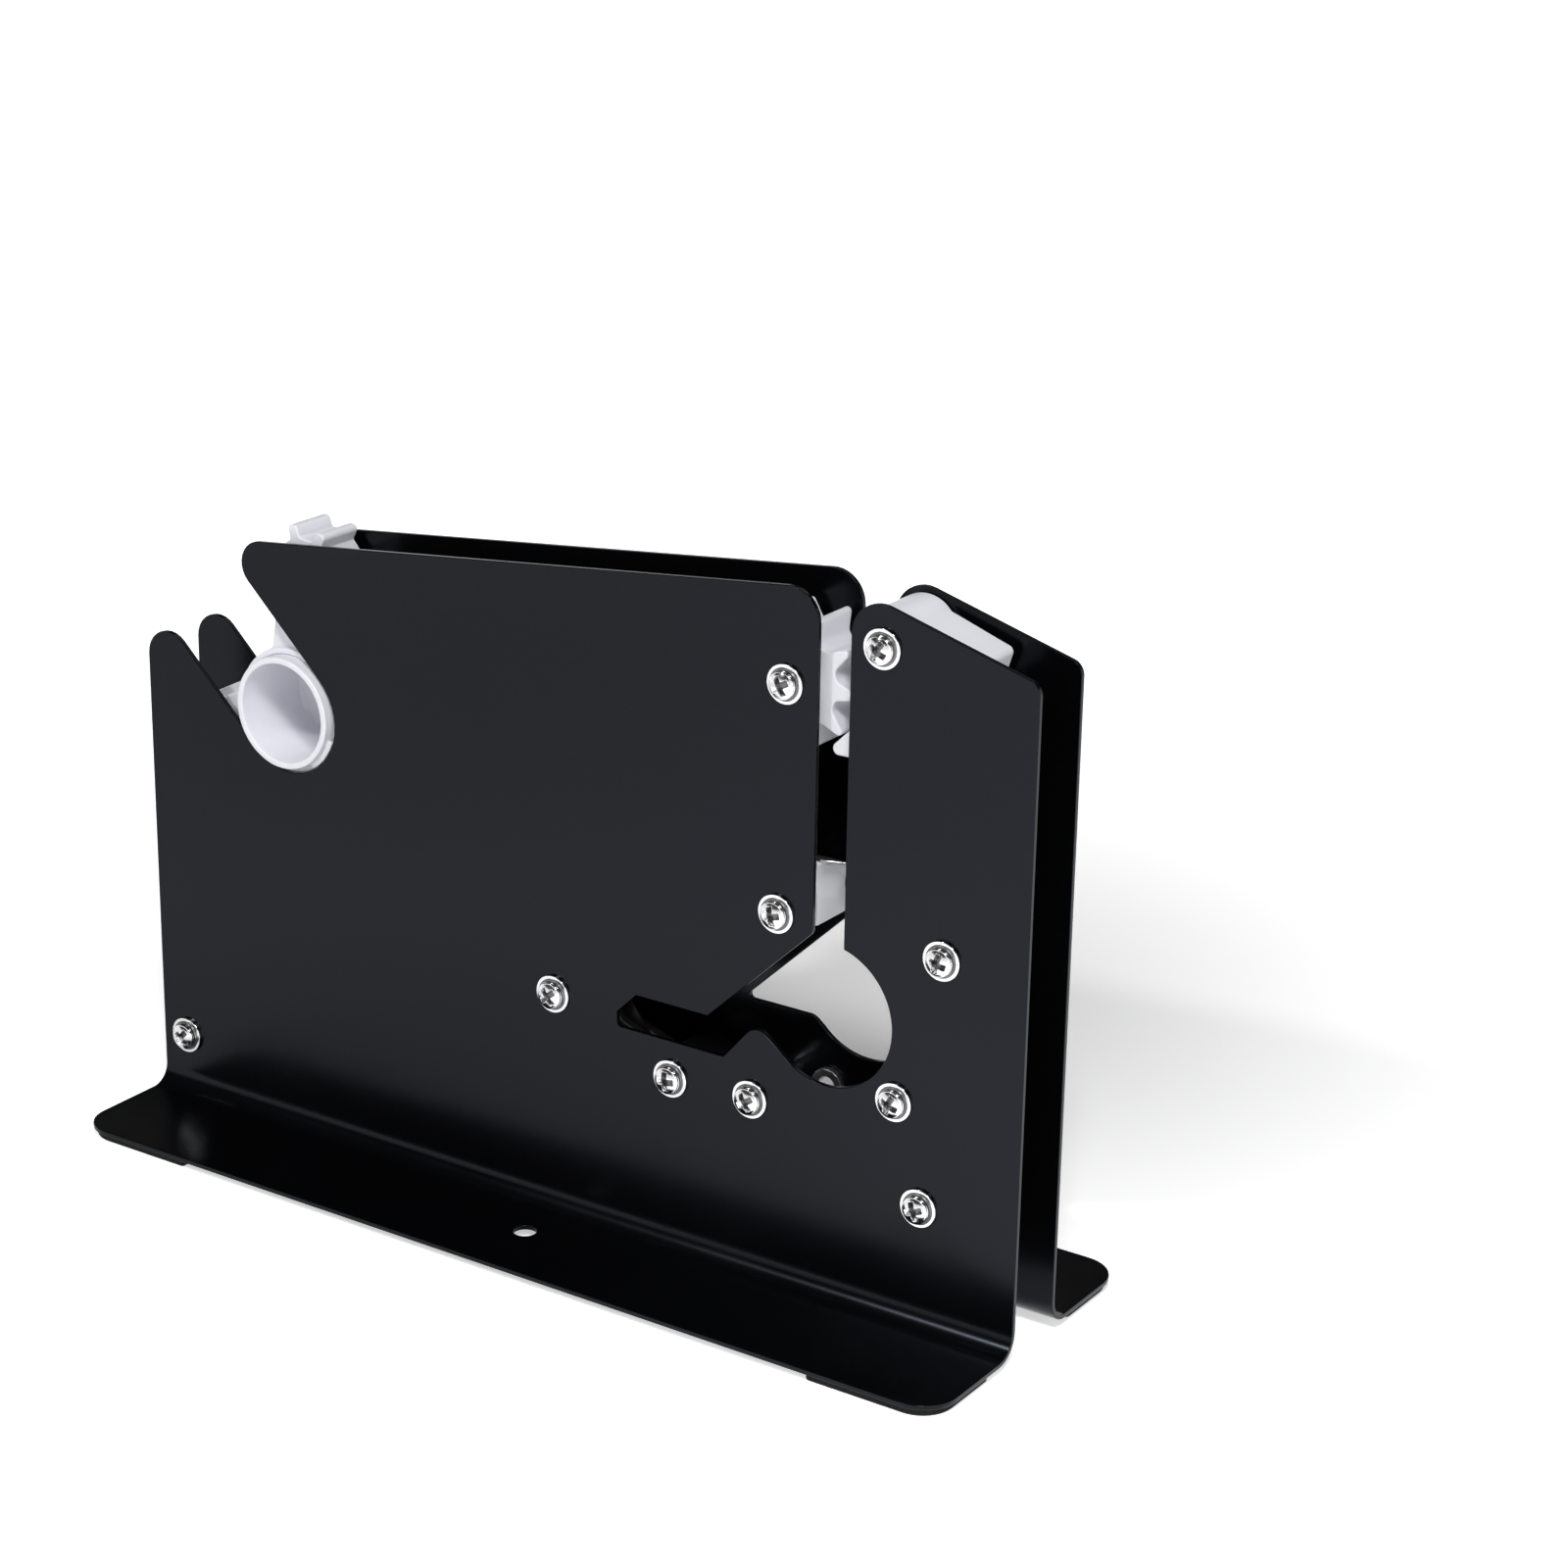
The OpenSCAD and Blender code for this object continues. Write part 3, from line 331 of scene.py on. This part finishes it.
def finish(name, colour, roughness, metallic, level, mottle, grain,
           streak=None, spread=0.06, swing=0.04, sheen=(1, 1, 1)):
    """Material with mottled colour and gloss over a fine grain.

    Level is the specular level, mottle the scale of the mottling, and grain is (scale, height,
    strength). Streak stretches the grain along an axis, spread is the share by which the colour
    varies, swing the amount by which the roughness does, and sheen tints the gloss.
    """
    if name in bpy.data.materials:
        return bpy.data.materials[name]
    material = bpy.data.materials.new(name)
    material.diffuse_color = tuple(colour) + (1,)
    tree = Tree(material)
    place = tree.add("ShaderNodeTexCoord").outputs["Object"]
    broad = tree.add("ShaderNodeTexNoise", Vector=place, Scale=mottle, Detail=4).outputs[0]
    fine_place = place
    if streak:
        fine_place = tree.add("ShaderNodeMapping", Vector=place, Scale=streak).outputs[0]
    fine = tree.add("ShaderNodeTexNoise", Vector=fine_place, Scale=grain[0], Detail=5).outputs[0]
    bump = tree.add("ShaderNodeBump", Strength=grain[2], Distance=grain[1], Height=fine)
    shader = tree.add(
        "ShaderNodeBsdfPrincipled",
        Base_Color=tinted(tree, broad, colour, spread),
        Roughness=shade(tree, broad, roughness - swing, roughness + swing),
        Metallic=metallic,
        Specular_IOR_Level=level,
        Specular_Tint=tuple(sheen) + (1,),
        Normal=bump.outputs[0],
    )
    tree.add("ShaderNodeOutputMaterial", Surface=shader.outputs[0])
    return material


def black_paint():
    """Satin black powder coat with the faint waviness of sprayed powder."""
    return finish(
        "sprayed_paint", finishes().paint, roughness=finishes().paint_gloss, metallic=0, level=0.21,
        mottle=30, grain=(700, 0.00002, 0.06), sheen=(0.72, 0.81, 1),
    )


def white_plastic():
    """Smooth moulded white plastic with a very fine spark-eroded grain."""
    return finish(
        "moulded_white", finishes().white_plastic, roughness=0.36, metallic=0, level=0.45,
        mottle=60, grain=(2600, 0.00001, 0.12), spread=0.015,
    )


def black_plastic():
    """Matt black moulded plastic."""
    return finish(
        "moulded_black", finishes().black_plastic, roughness=0.5, metallic=0, level=0.25,
        mottle=60, grain=(2200, 0.00003, 0.2), spread=0.12,
    )


def zinc_plate():
    """Bright zinc plating with fine turning marks."""
    return finish(
        "bright_zinc", finishes().zinc, roughness=0.14, metallic=1, level=0.5,
        mottle=260, grain=(2500, 0.00001, 0.12), swing=0.05,
    )


def dull_zinc(name, grey):
    """Zinc darkened to a slightly blue grey as painted shade, for a recess or a part that lies in shadow
    inside the device.
    """
    return finish(
        name, (grey, grey, grey * 1.02), roughness=0.4, metallic=1, level=0.5,
        mottle=900, grain=(2500, 0.00001, 0.2), spread=0.5, swing=0.1,
    )


def spring_steel():
    """Bare drawn or ground steel with fine lines along it."""
    return finish(
        "ground_steel", finishes().steel, roughness=0.3, metallic=1, level=0.5,
        mottle=200, grain=(1500, 0.00001, 0.25), streak=(1, 12, 1), swing=0.07,
    )


def black_steel():
    """Blackened blade steel."""
    return finish(
        "blackened_steel", finishes().black_steel, roughness=0.34, metallic=0.7, level=0.4,
        mottle=150, grain=(1800, 0.00001, 0.2), streak=(8, 1, 1),
    )


def foam():
    """Closed-cell foam: a cut surface of small round pores, 1400 to the metre and 0.15 mm deep."""
    if "cut_foam" in bpy.data.materials:
        return bpy.data.materials["cut_foam"]
    material = bpy.data.materials.new("cut_foam")
    material.diffuse_color = tuple(finishes().foam) + (1,)
    tree = Tree(material)
    place = tree.add("ShaderNodeTexCoord").outputs["Object"]
    cells = tree.add("ShaderNodeTexVoronoi", Vector=place, Scale=1400).outputs["Distance"]
    bump = tree.add("ShaderNodeBump", Strength=0.6, Distance=0.00015, Height=cells)
    shader = tree.add(
        "ShaderNodeBsdfPrincipled",
        Base_Color=tinted(tree, cells, finishes().foam, spread=0.4),
        Roughness=0.95,
        Specular_IOR_Level=0.2,
        Normal=bump.outputs[0],
    )
    tree.add("ShaderNodeOutputMaterial", Surface=shader.outputs[0])
    return material


FINISH_OF_SLOT = {
    "black_paint": black_paint,
    "foam": foam,
    "white_plastic": white_plastic,
    "black_plastic": black_plastic,
    "zinc": zinc_plate,
    "steel": spring_steel,
    "black_steel": black_steel,
}


def dress(piece, node):
    """The piece rides on its node's body, stands for the node and takes its finish."""
    if piece.data.materials:
        piece.data.materials.clear()
    piece.data.materials.append(FINISH_OF_SLOT[SLOT_OF[node]]())
    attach(piece, BODY_OF[node])
    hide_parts(node)
    return piece


def softened(node, edge, segments=2):
    """Copy of a solid with its flat faces joined and its sharp edges rounded by a bevel."""
    mesh = frame["nodes"][node].data.copy()
    mesh.name = "dressed_" + node
    shape = bmesh.new()
    shape.from_mesh(mesh)
    bmesh.ops.remove_doubles(shape, verts=shape.verts, dist=SOLID_WELD)
    bmesh.ops.dissolve_limit(shape, angle_limit=FLAT_ANGLE, verts=shape.verts, edges=shape.edges)
    shape.to_mesh(mesh)
    shape.free()
    mesh.shade_smooth()
    mesh.set_sharp_from_angle(angle=SOLID_SHARP)
    piece = bpy.data.objects.new("dressed_" + node, mesh)
    bpy.context.scene.collection.objects.link(piece)
    bevel = piece.modifiers.new("edges", "BEVEL")
    bevel.width = edge
    bevel.segments = segments
    bevel.limit_method = "ANGLE"
    bevel.angle_limit = SOLID_SHARP
    bevel.harden_normals = True
    bevel.use_clamp_overlap = False
    return dress(piece, node)


def grid_faces(rows, columns, start):
    """Quads of a grid whose columns close on themselves, its first point being number start."""
    row = np.arange(rows - 1)[:, None] * columns
    column = np.arange(columns)[None, :]
    after = (column + 1) % columns
    quads = np.stack([row + column, row + after, row + columns + after, row + columns + column], axis=-1)
    return start + quads.reshape(-1, 4)


def surface(name, grids, marks=None):
    """Mesh object of closed grids, each an array of rows, columns and (x, y, z) in metres.

    Rows that shrink to a point at the two ends become poles once doubles are merged. Marks give
    each face the number of its material.
    """
    points = []
    faces = []
    start = 0
    for grid in grids:
        rows, columns = grid.shape[:2]
        points.append(grid.reshape(-1, 3))
        faces.append(grid_faces(rows, columns, start))
        start += rows * columns
    mesh = bpy.data.meshes.new(name)
    mesh.from_pydata(np.concatenate(points).tolist(), [], np.concatenate(faces).tolist())
    if marks:
        mesh.polygons.foreach_set("material_index", np.concatenate([mark.ravel() for mark in marks]))
    shape = bmesh.new()
    shape.from_mesh(mesh)
    bmesh.ops.remove_doubles(shape, verts=shape.verts, dist=SURFACE_WELD)
    bmesh.ops.recalc_face_normals(shape, faces=shape.faces)
    shape.to_mesh(mesh)
    shape.free()
    mesh.shade_smooth()
    mesh.set_sharp_from_angle(angle=SURFACE_SHARP)
    piece = bpy.data.objects.new(name, mesh)
    bpy.context.scene.collection.objects.link(piece)
    return piece


def head_grid(radius, height, slot, reach, depth, columns=112):
    """Pan head with a cross recess, in millimetres, its bearing face at z = 0, and its marks.

    Height over the radius r is a dome, height - r^2 / (2 dome), less the recess: depth times
    the share min(1, (slot/2 + wall - |across|) / wall, (reach - |along|) / taper), the larger of
    the two arms. A quarter circle rounds the rim, a groove parts the head from the spring washer
    under it, and a thin lip round that washer is a dark ring of painted shade. Marks are 1 deep in
    the recess, in the groove and on the lip, whose faces take darker zinc as painted shade.
    """
    rings = 40
    rim_rings = 5
    painted_shade_from = 0.6
    wall = 0.2 * slot
    taper = 0.4 * reach
    dome = 1.45 * radius
    rim = 0.13 * height
    flat = 0.92 * radius - rim
    turn = 2 * np.pi * np.arange(columns) / columns

    def arm(along, across):
        sides = (slot / 2 + wall - np.abs(across)) / wall
        ends = (reach - np.abs(along)) / taper
        return np.clip(np.minimum(sides, ends), 0, 1)

    out = flat * np.linspace(0, 1, rings)[:, None]
    x = out * np.cos(turn)
    y = out * np.sin(turn)
    share = np.maximum(arm(x, y), arm(y, x))
    top = np.stack([x, y, height - out * out / (2 * dome) - depth * share], axis=-1)

    edge_z = height - flat * flat / (2 * dome)
    bend = np.linspace(0, np.pi / 2, rim_rings + 1)[1:]
    profile = np.concatenate([
        np.stack([flat + rim * np.sin(bend), edge_z - rim + rim * np.cos(bend)], axis=-1),
        HEAD_PROFILE[:, :2] * (radius, height),
    ])
    side = np.stack([
        profile[:, :1] * np.cos(turn),
        profile[:, :1] * np.sin(turn),
        np.repeat(profile[:, 1:], columns, axis=1),
    ], axis=-1)
    grid = np.concatenate([top, side])
    mark = np.zeros((len(grid) - 1, columns), dtype=np.int32)
    # Faces deep in the cross recess are marked for darker zinc: painted shade
    mark[:rings - 1] = share[1:] > painted_shade_from
    mark[rings + rim_rings:] = HEAD_PROFILE[:-1, 2:]
    return grid, mark


def thread_grid(radius, length, plain, pitch, columns=20):
    """Threaded shank from z = 0 down, in millimetres, starting inside the head.

    The radius is the crest less the cut, 0.54 pitch times a triangle wave of
    depth / pitch + turn / 2 pi, plain near the head, and it narrows over the last pitch to a
    blunt tip.
    """
    deepest = 0.54
    rows_per_turn = 6
    inside_head = 0.3
    blunt = 0.55
    rows = int(length / pitch * rows_per_turn)
    depth = np.linspace(-inside_head, length, rows)[:, None]
    turn = 2 * np.pi * np.arange(columns)[None, :] / columns
    wave = np.abs(((depth / pitch + turn / (2 * np.pi)) % 1) * 2 - 1)
    cut = deepest * pitch * wave * np.clip((depth - plain) / pitch, 0, 1)
    tip = np.clip((length - depth) / pitch, blunt, 1)
    around = (radius - cut) * tip
    around[0] = 0
    around[-1] = 0
    down = np.repeat(depth, columns, axis=1)
    return np.stack([around * np.cos(turn), around * np.sin(turn), -down], axis=-1)


def moved(grid, matrix):
    """The grid in millimetres carried by the matrix, in metres."""
    turn = np.array(matrix.to_3x3())
    return (grid @ turn.T + np.array(matrix.translation)) * MM


def screws(node, matrices, thread, head, height, length, plain, pitch, slot, reach, depth):
    """Heads and shanks of like screws, one along the Z axis of each matrix, in millimetres.

    Thread and head are diameters, height is the head's, and plain is the shank's part without a
    thread. Slot, reach and depth are the width, half length and depth of the cross recess.
    """
    grids = []
    marks = []
    head_shape, head_shade_mark = head_grid(head / 2, height, slot, reach, depth)
    shank = thread_grid(thread / 2, length, plain, pitch)
    for matrix, turn in zip(matrices, SCREW_TURNS):
        whole = matrix @ Matrix.Rotation(radians(turn), 4, "Z")
        grids += [moved(head_shape, whole), moved(shank, whole)]
        marks += [head_shade_mark, np.zeros((shank.shape[0] - 1, shank.shape[1]), dtype=np.int32)]
    piece = dress(surface("dressed_" + node, grids, marks), node)
    # The recess, groove and lip take a darker zinc as painted shade
    piece.data.materials.append(dull_zinc("recess_zinc", grey=0.16))


def plate_screws(node, side):
    """Screws of one plate; side is -1 in front and 1 behind."""
    turn = Matrix.Rotation(radians(-90 * side), 4, "X")
    matrices = [Matrix.Translation((x, side * WASHER_TOP, z)) @ turn for x, z in SCREW_PLACES]
    screws(
        node, matrices, thread=4, head=7.1, height=2.3, length=7.5, plain=2,
        pitch=sizes().thread_pitch / MM, slot=1.05, reach=2.3, depth=1.8,
    )


def wire_grid(path, out, radius, sides):
    """Round wire along a path of points, in metres.

    Each ring is path + radius (cos t up + sin t side), where side is the path's direction crossed
    with out, the direction away from the curl's middle, and up is side crossed with the direction.
    """
    along = np.gradient(path, axis=0)
    along /= np.linalg.norm(along, axis=1, keepdims=True)
    side = np.cross(along, out)
    side /= np.linalg.norm(side, axis=1, keepdims=True)
    up = np.cross(side, along)
    turn = 2 * np.pi * np.arange(sides) / sides
    shrink = np.ones(len(path))
    shrink[[0, -1]] = 0
    ring = np.cos(turn)[None, :, None] * up[:, None] + np.sin(turn)[None, :, None] * side[:, None]
    return path[:, None] + radius * shrink[:, None, None] * ring


def spring_path(top, foot):
    """Points of the tension spring in metres, and the direction away from its middle at each.

    The hooks are arcs about the pin and the post. The curls are a helix,
    (x + r cos t, -r sin t, top - height t / whole turn), and quarter bends join them to the hooks.
    """
    hook_rings = 25
    bend_rings = 6
    curl_rings = 24
    wire = WIRE * MM
    gap = HOOK_GAP * MM
    top_r = PIN_RADIUS * MM + gap + wire / 2
    coil_r = POST_RADIUS * MM + gap + wire / 2
    height = CURLS * CURL_PITCH * MM
    bend = 2 * wire
    high = (top[2] + foot[2] + height) / 2
    low = high - height
    bend_turn = bend / coil_r
    full = 2 * np.pi * CURLS

    def hook(centre, radius, t):
        out = np.stack([np.cos(t), np.zeros_like(t), np.sin(t)], axis=-1)
        return np.array([centre[0], 0, centre[2]]) + radius * out, out

    def around(t, z):
        out = np.stack([np.cos(t), -np.sin(t), np.zeros_like(t)], axis=-1)
        centre = np.stack([np.full_like(t, top[0]), np.zeros_like(t), z], axis=-1)
        return centre + coil_r * out, out

    quarter = np.linspace(0, np.pi / 2, bend_rings + 1)[:-1]
    coil = np.linspace(0, 1, CURLS * curl_rings + 1)
    parts = [
        hook(top, top_r, np.linspace(HOOK_TURN, 0, hook_rings)),
        around(bend_turn * (1 - np.cos(quarter)), high + bend * (1 - np.sin(quarter))),
        around(bend_turn + (full - 2 * bend_turn) * coil, high - height * coil),
        around(full - bend_turn * (1 - np.cos(quarter[::-1])), low - bend * (1 - np.sin(quarter[::-1]))),
        hook(foot, coil_r, np.linspace(0, -HOOK_TURN, hook_rings)),
    ]
    path = np.concatenate([part[0] for part in parts])
    out = np.concatenate([part[1] for part in parts])
    return path, out


def middle(node):
    """Middle of a solid's box, in metres."""
    low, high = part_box(node)
    return (np.array(low) + np.array(high)) / 2


class SEALER_OT_side_plates(bpy.types.Operator):
    """Round and paint the two bent sheet steel plates"""

    bl_idname = "sealer.side_plates"
    bl_label = "Side Plates"

    def execute(self, context):
        for node in ("front_plate", "rear_plate"):
            softened(node, sizes().sheet_edge)
        return {"FINISHED"}


class SEALER_OT_foot_pads(bpy.types.Operator):
    """Make the four foam pads under the flanges"""

    bl_idname = "sealer.foot_pads"
    bl_label = "Foot Pads"

    def execute(self, context):
        for side in ("front_left", "front_right", "rear_left", "rear_right"):
            softened("foot_pad_" + side, sizes().foam_edge, segments=3)
        return {"FINISHED"}


class SEALER_OT_tape_hub(bpy.types.Operator):
    """Make the hub tube and the three-armed hub on it"""

    bl_idname = "sealer.tape_hub"
    bl_label = "Tape Hub"

    def execute(self, context):
        softened("hub_tube", sizes().moulded_edge, segments=3)
        softened("tape_hub", sizes().moulded_edge, segments=3)
        return {"FINISHED"}


class SEALER_OT_wheel_and_arm(bpy.types.Operator):
    """Make the toothed wheel and the presser arm"""

    bl_idname = "sealer.wheel_and_arm"
    bl_label = "Wheel and Presser Arm"

    def execute(self, context):
        for node in ("upper_wheel", "presser_arm"):
            softened(node, sizes().moulded_edge, segments=3)
        return {"FINISHED"}


class SEALER_OT_spring(bpy.types.Operator):
    """Wind the tension spring between its pin and its post"""

    bl_idname = "sealer.spring"
    bl_label = "Spring"

    def execute(self, context):
        path, out = spring_path(middle("spring_pin"), middle("spring_post"))
        grid = wire_grid(path, out, WIRE / 2 * MM, sizes().wire_sides)
        dress(surface("dressed_presser_spring", [grid]), "presser_spring")
        softened("spring_pin", sizes().metal_edge)
        softened("spring_post", sizes().metal_edge)
        return {"FINISHED"}


class SEALER_OT_cutter(bpy.types.Operator):
    """Make the cutter block with its toothed tape blade and two small screws"""

    bl_idname = "sealer.cutter"
    bl_label = "Tape Cutter"

    def execute(self, context):
        softened("cutter_block", sizes().moulded_edge / 2)
        softened("tape_blade", sizes().blade_edge, segments=1)
        top = Matrix.Translation((0, 0, BLOCK_TOP)) @ Matrix.Rotation(-BLOCK_SLANT, 4, "X")
        matrices = [top @ Matrix.Translation((x, y, BLADE_THICKNESS)) for x, y in BLADE_SCREWS]
        screws(
            "tape_blade_screws", matrices, thread=2, head=3.6, height=1.2, length=4.6, plain=0.8,
            pitch=0.4, slot=0.5, reach=1.1, depth=0.7,
        )
        return {"FINISHED"}


class SEALER_OT_trimmer(bpy.types.Operator):
    """Make the trimming blade and the two halves of its holder"""

    bl_idname = "sealer.trimmer"
    bl_label = "Trimming Blade"

    def execute(self, context):
        softened("trim_holder_front", sizes().moulded_edge)
        softened("trim_holder_rear", sizes().moulded_edge)
        softened("trim_blade", sizes().blade_edge, segments=1)
        return {"FINISHED"}


class SEALER_OT_spacers(bpy.types.Operator):
    """Make the spacers and axles between the plates and the bushing in the rear plate"""

    bl_idname = "sealer.spacers"
    bl_label = "Spacers"

    def execute(self, context):
        for node in (
            "upper_wheel_axle",
            "presser_arm_axle",
            "cutter_block_spacer",
            "trim_holder_left_spacer",
            "trim_holder_right_spacer",
            "lower_left_spacer",
            "hump_spacer",
            "opening_spacer",
            "lower_right_spacer",
        ):
            softened(node, sizes().metal_edge)
        bushing = softened("rear_bushing", sizes().metal_edge)
        # The bushing takes zinc darkened to grey as painted shade for the shadow it lies in
        bushing.data.materials[0] = dull_zinc("dull_zinc", grey=0.3)
        return {"FINISHED"}


class SEALER_OT_screws(bpy.types.Operator):
    """Make the pan head screws and the washers of both plates"""

    bl_idname = "sealer.screws"
    bl_label = "Screws and Washers"

    def execute(self, context):
        plate_screws("front_screws", -1)
        plate_screws("rear_screws", 1)
        softened("front_washers", sizes().metal_edge)
        softened("rear_washers", sizes().metal_edge)
        return {"FINISHED"}


def sky_light(world):
    """Pale low wall all round, dark above it, and a ceiling that is lightest overhead."""
    tree = Tree(world)
    way = tree.add("ShaderNodeTexCoord").outputs["Generated"]
    up = tree.add("ShaderNodeSeparateXYZ", Vector=way).outputs[2]
    wall = tree.add("ShaderNodeMapRange", i0=up, i1=WALL_END, i2=DARK_START, i3=1, i4=DARK_LEVEL)
    ceiling = tree.add("ShaderNodeMapRange", i0=up, i1=CEILING_START, i2=1, i3=0, i4=studio().sky)
    level = tree.add("ShaderNodeMath", {"operation": "ADD"}, i0=wall.outputs[0], i1=ceiling.outputs[0])
    light = tree.add("ShaderNodeBackground", Color=(1, 1, 1, 1), Strength=level.outputs[0])
    tree.add("ShaderNodeOutputWorld", Surface=light.outputs[0])


def floor_finish():
    """Pale matt floor that the camera sees as white, with painted shadow where its glow dims round the
    object's shadow, and a glow with dim parts that shiny pieces mirror as painted reflections.
    """
    material = bpy.data.materials.new("floor")
    tree = Tree(material)
    path = tree.add("ShaderNodeLightPath").outputs
    place = tree.add("ShaderNodeTexCoord").outputs["Object"]

    def ring(centre, near, far, low, high):
        node = tree.add("ShaderNodeVectorMath", {"operation": "DISTANCE"}, i0=place, i1=centre)
        away = node.outputs["Value"]
        return tree.add("ShaderNodeMapRange", i0=away, i1=near, i2=far, i3=low, i4=high).outputs[0]

    def math(operation, first, second):
        return tree.add("ShaderNodeMath", {"operation": operation}, i0=first, i1=second).outputs[0]

    seen = math("MAXIMUM", path["Is Camera Ray"], path["Is Transmission Ray"])
    # The glow dims round the object's shadow: painted shadow
    seen = math("MULTIPLY", seen, ring(*SHADOW_RING))
    # Dim parts of the glow that only gloss sees: painted reflections
    mirrored = math("MULTIPLY", ring(*NEAR_RING), ring(*LEFT_RING))
    matt = tree.add("ShaderNodeBsdfDiffuse", Color=tuple(studio().floor) + (1,))
    mirrored = math("MULTIPLY", path["Is Glossy Ray"], mirrored)
    light = tree.add("ShaderNodeEmission", Strength=math("ADD", seen, mirrored))
    both = tree.add("ShaderNodeAddShader", i0=matt.outputs[0], i1=light.outputs[0])
    tree.add("ShaderNodeOutputMaterial", Surface=both.outputs[0])
    return material


def soft_light(name, place, size, power):
    """Square area light at a place, facing the lights' common point."""
    lamp = bpy.data.lights.new(name, "AREA")
    lamp.energy = power
    lamp.shape = "SQUARE"
    lamp.size = size
    light = bpy.data.objects.new(name, lamp)
    light.location = place
    light.rotation_euler = (Vector(LIGHT_AIM) - Vector(place)).to_track_quat("-Z", "Y").to_euler()
    bpy.context.scene.collection.objects.link(light)


def camera_turn(azimuth, elevation, roll):
    """Camera axes as columns: right, up and back, seen from the azimuth and elevation, then rolled."""
    back = Vector((
        np.sin(azimuth) * np.cos(elevation),
        -np.cos(azimuth) * np.cos(elevation),
        np.sin(elevation),
    ))
    right = Vector((np.cos(azimuth), np.sin(azimuth), 0))
    up = back.cross(right)
    turned_right = right * np.cos(roll) + up * np.sin(roll)
    turned_up = up * np.cos(roll) - right * np.sin(roll)
    return Matrix((turned_right, turned_up, back)).transposed()


class SEALER_OT_studio(bpy.types.Operator):
    """Lay the floor, set the lights and place the camera"""

    bl_idname = "sealer.studio"
    bl_label = "Studio"

    def execute(self, context):
        mesh = bpy.data.meshes.new("floor")
        half = FLOOR_HALF
        corners = [(-half, -half, 0), (half, -half, 0), (half, half, 0), (-half, half, 0)]
        mesh.from_pydata(corners, [], [(0, 1, 2, 3)])
        mesh.materials.append(floor_finish())
        floor = bpy.data.objects.new("floor", mesh)
        context.scene.collection.objects.link(floor)

        world = bpy.data.worlds.new("studio")
        context.scene.world = world
        sky_light(world)
        for name, place, size in LIGHTS:
            soft_light(name, place, size, getattr(studio(), name + "_power"))

        lens = bpy.data.cameras.new("camera")
        lens.lens = studio().lens
        lens.sensor_width = SENSOR_WIDTH
        lens.clip_start = NEAREST
        camera = bpy.data.objects.new("camera", lens)
        turn = camera_turn(studio().azimuth, studio().elevation, studio().roll)
        camera.matrix_world = Matrix.Translation(studio().camera_place) @ turn.to_4x4()
        context.scene.collection.objects.link(camera)
        context.scene.camera = camera
        context.scene.view_settings.view_transform = "Standard"
        return {"FINISHED"}


OPERATORS = (
    SEALER_OT_side_plates,
    SEALER_OT_foot_pads,
    SEALER_OT_tape_hub,
    SEALER_OT_wheel_and_arm,
    SEALER_OT_spring,
    SEALER_OT_cutter,
    SEALER_OT_trimmer,
    SEALER_OT_spacers,
    SEALER_OT_screws,
    SEALER_OT_studio,
)


class SEALER_PT_pieces(bpy.types.Panel):
    """Lists the pieces and their settings"""

    bl_idname = "SEALER_PT_pieces"
    bl_label = "Bag Neck Sealer"
    bl_space_type = "VIEW_3D"
    bl_region_type = "UI"
    bl_category = "Sealer"

    def draw(self, context):
        layout = self.layout
        for operator in OPERATORS:
            layout.operator(operator.bl_idname)
        for group in (finishes(), sizes(), studio()):
            box = layout.box()
            for name in group.__annotations__:
                box.prop(group, name)


GROUPS = (
    ("sealer_finishes", SealerFinishes),
    ("sealer_sizes", SealerSizes),
    ("sealer_studio", SealerStudio),
)


def register():
    for name, group in GROUPS:
        bpy.utils.register_class(group)
        setattr(bpy.types.Scene, name, bpy.props.PointerProperty(type=group))
    for operator in OPERATORS:
        bpy.utils.register_class(operator)
    bpy.utils.register_class(SEALER_PT_pieces)


def unregister():
    bpy.utils.unregister_class(SEALER_PT_pieces)
    for operator in reversed(OPERATORS):
        bpy.utils.unregister_class(operator)
    for name, group in reversed(GROUPS):
        delattr(bpy.types.Scene, name)
        bpy.utils.unregister_class(group)


def main():
    register()
    bpy.ops.sealer.side_plates()
    bpy.ops.sealer.foot_pads()
    bpy.ops.sealer.tape_hub()
    bpy.ops.sealer.wheel_and_arm()
    bpy.ops.sealer.spring()
    bpy.ops.sealer.cutter()
    bpy.ops.sealer.trimmer()
    bpy.ops.sealer.spacers()
    bpy.ops.sealer.screws()
    bpy.ops.sealer.studio()


if __name__ == "__main__":
    main()
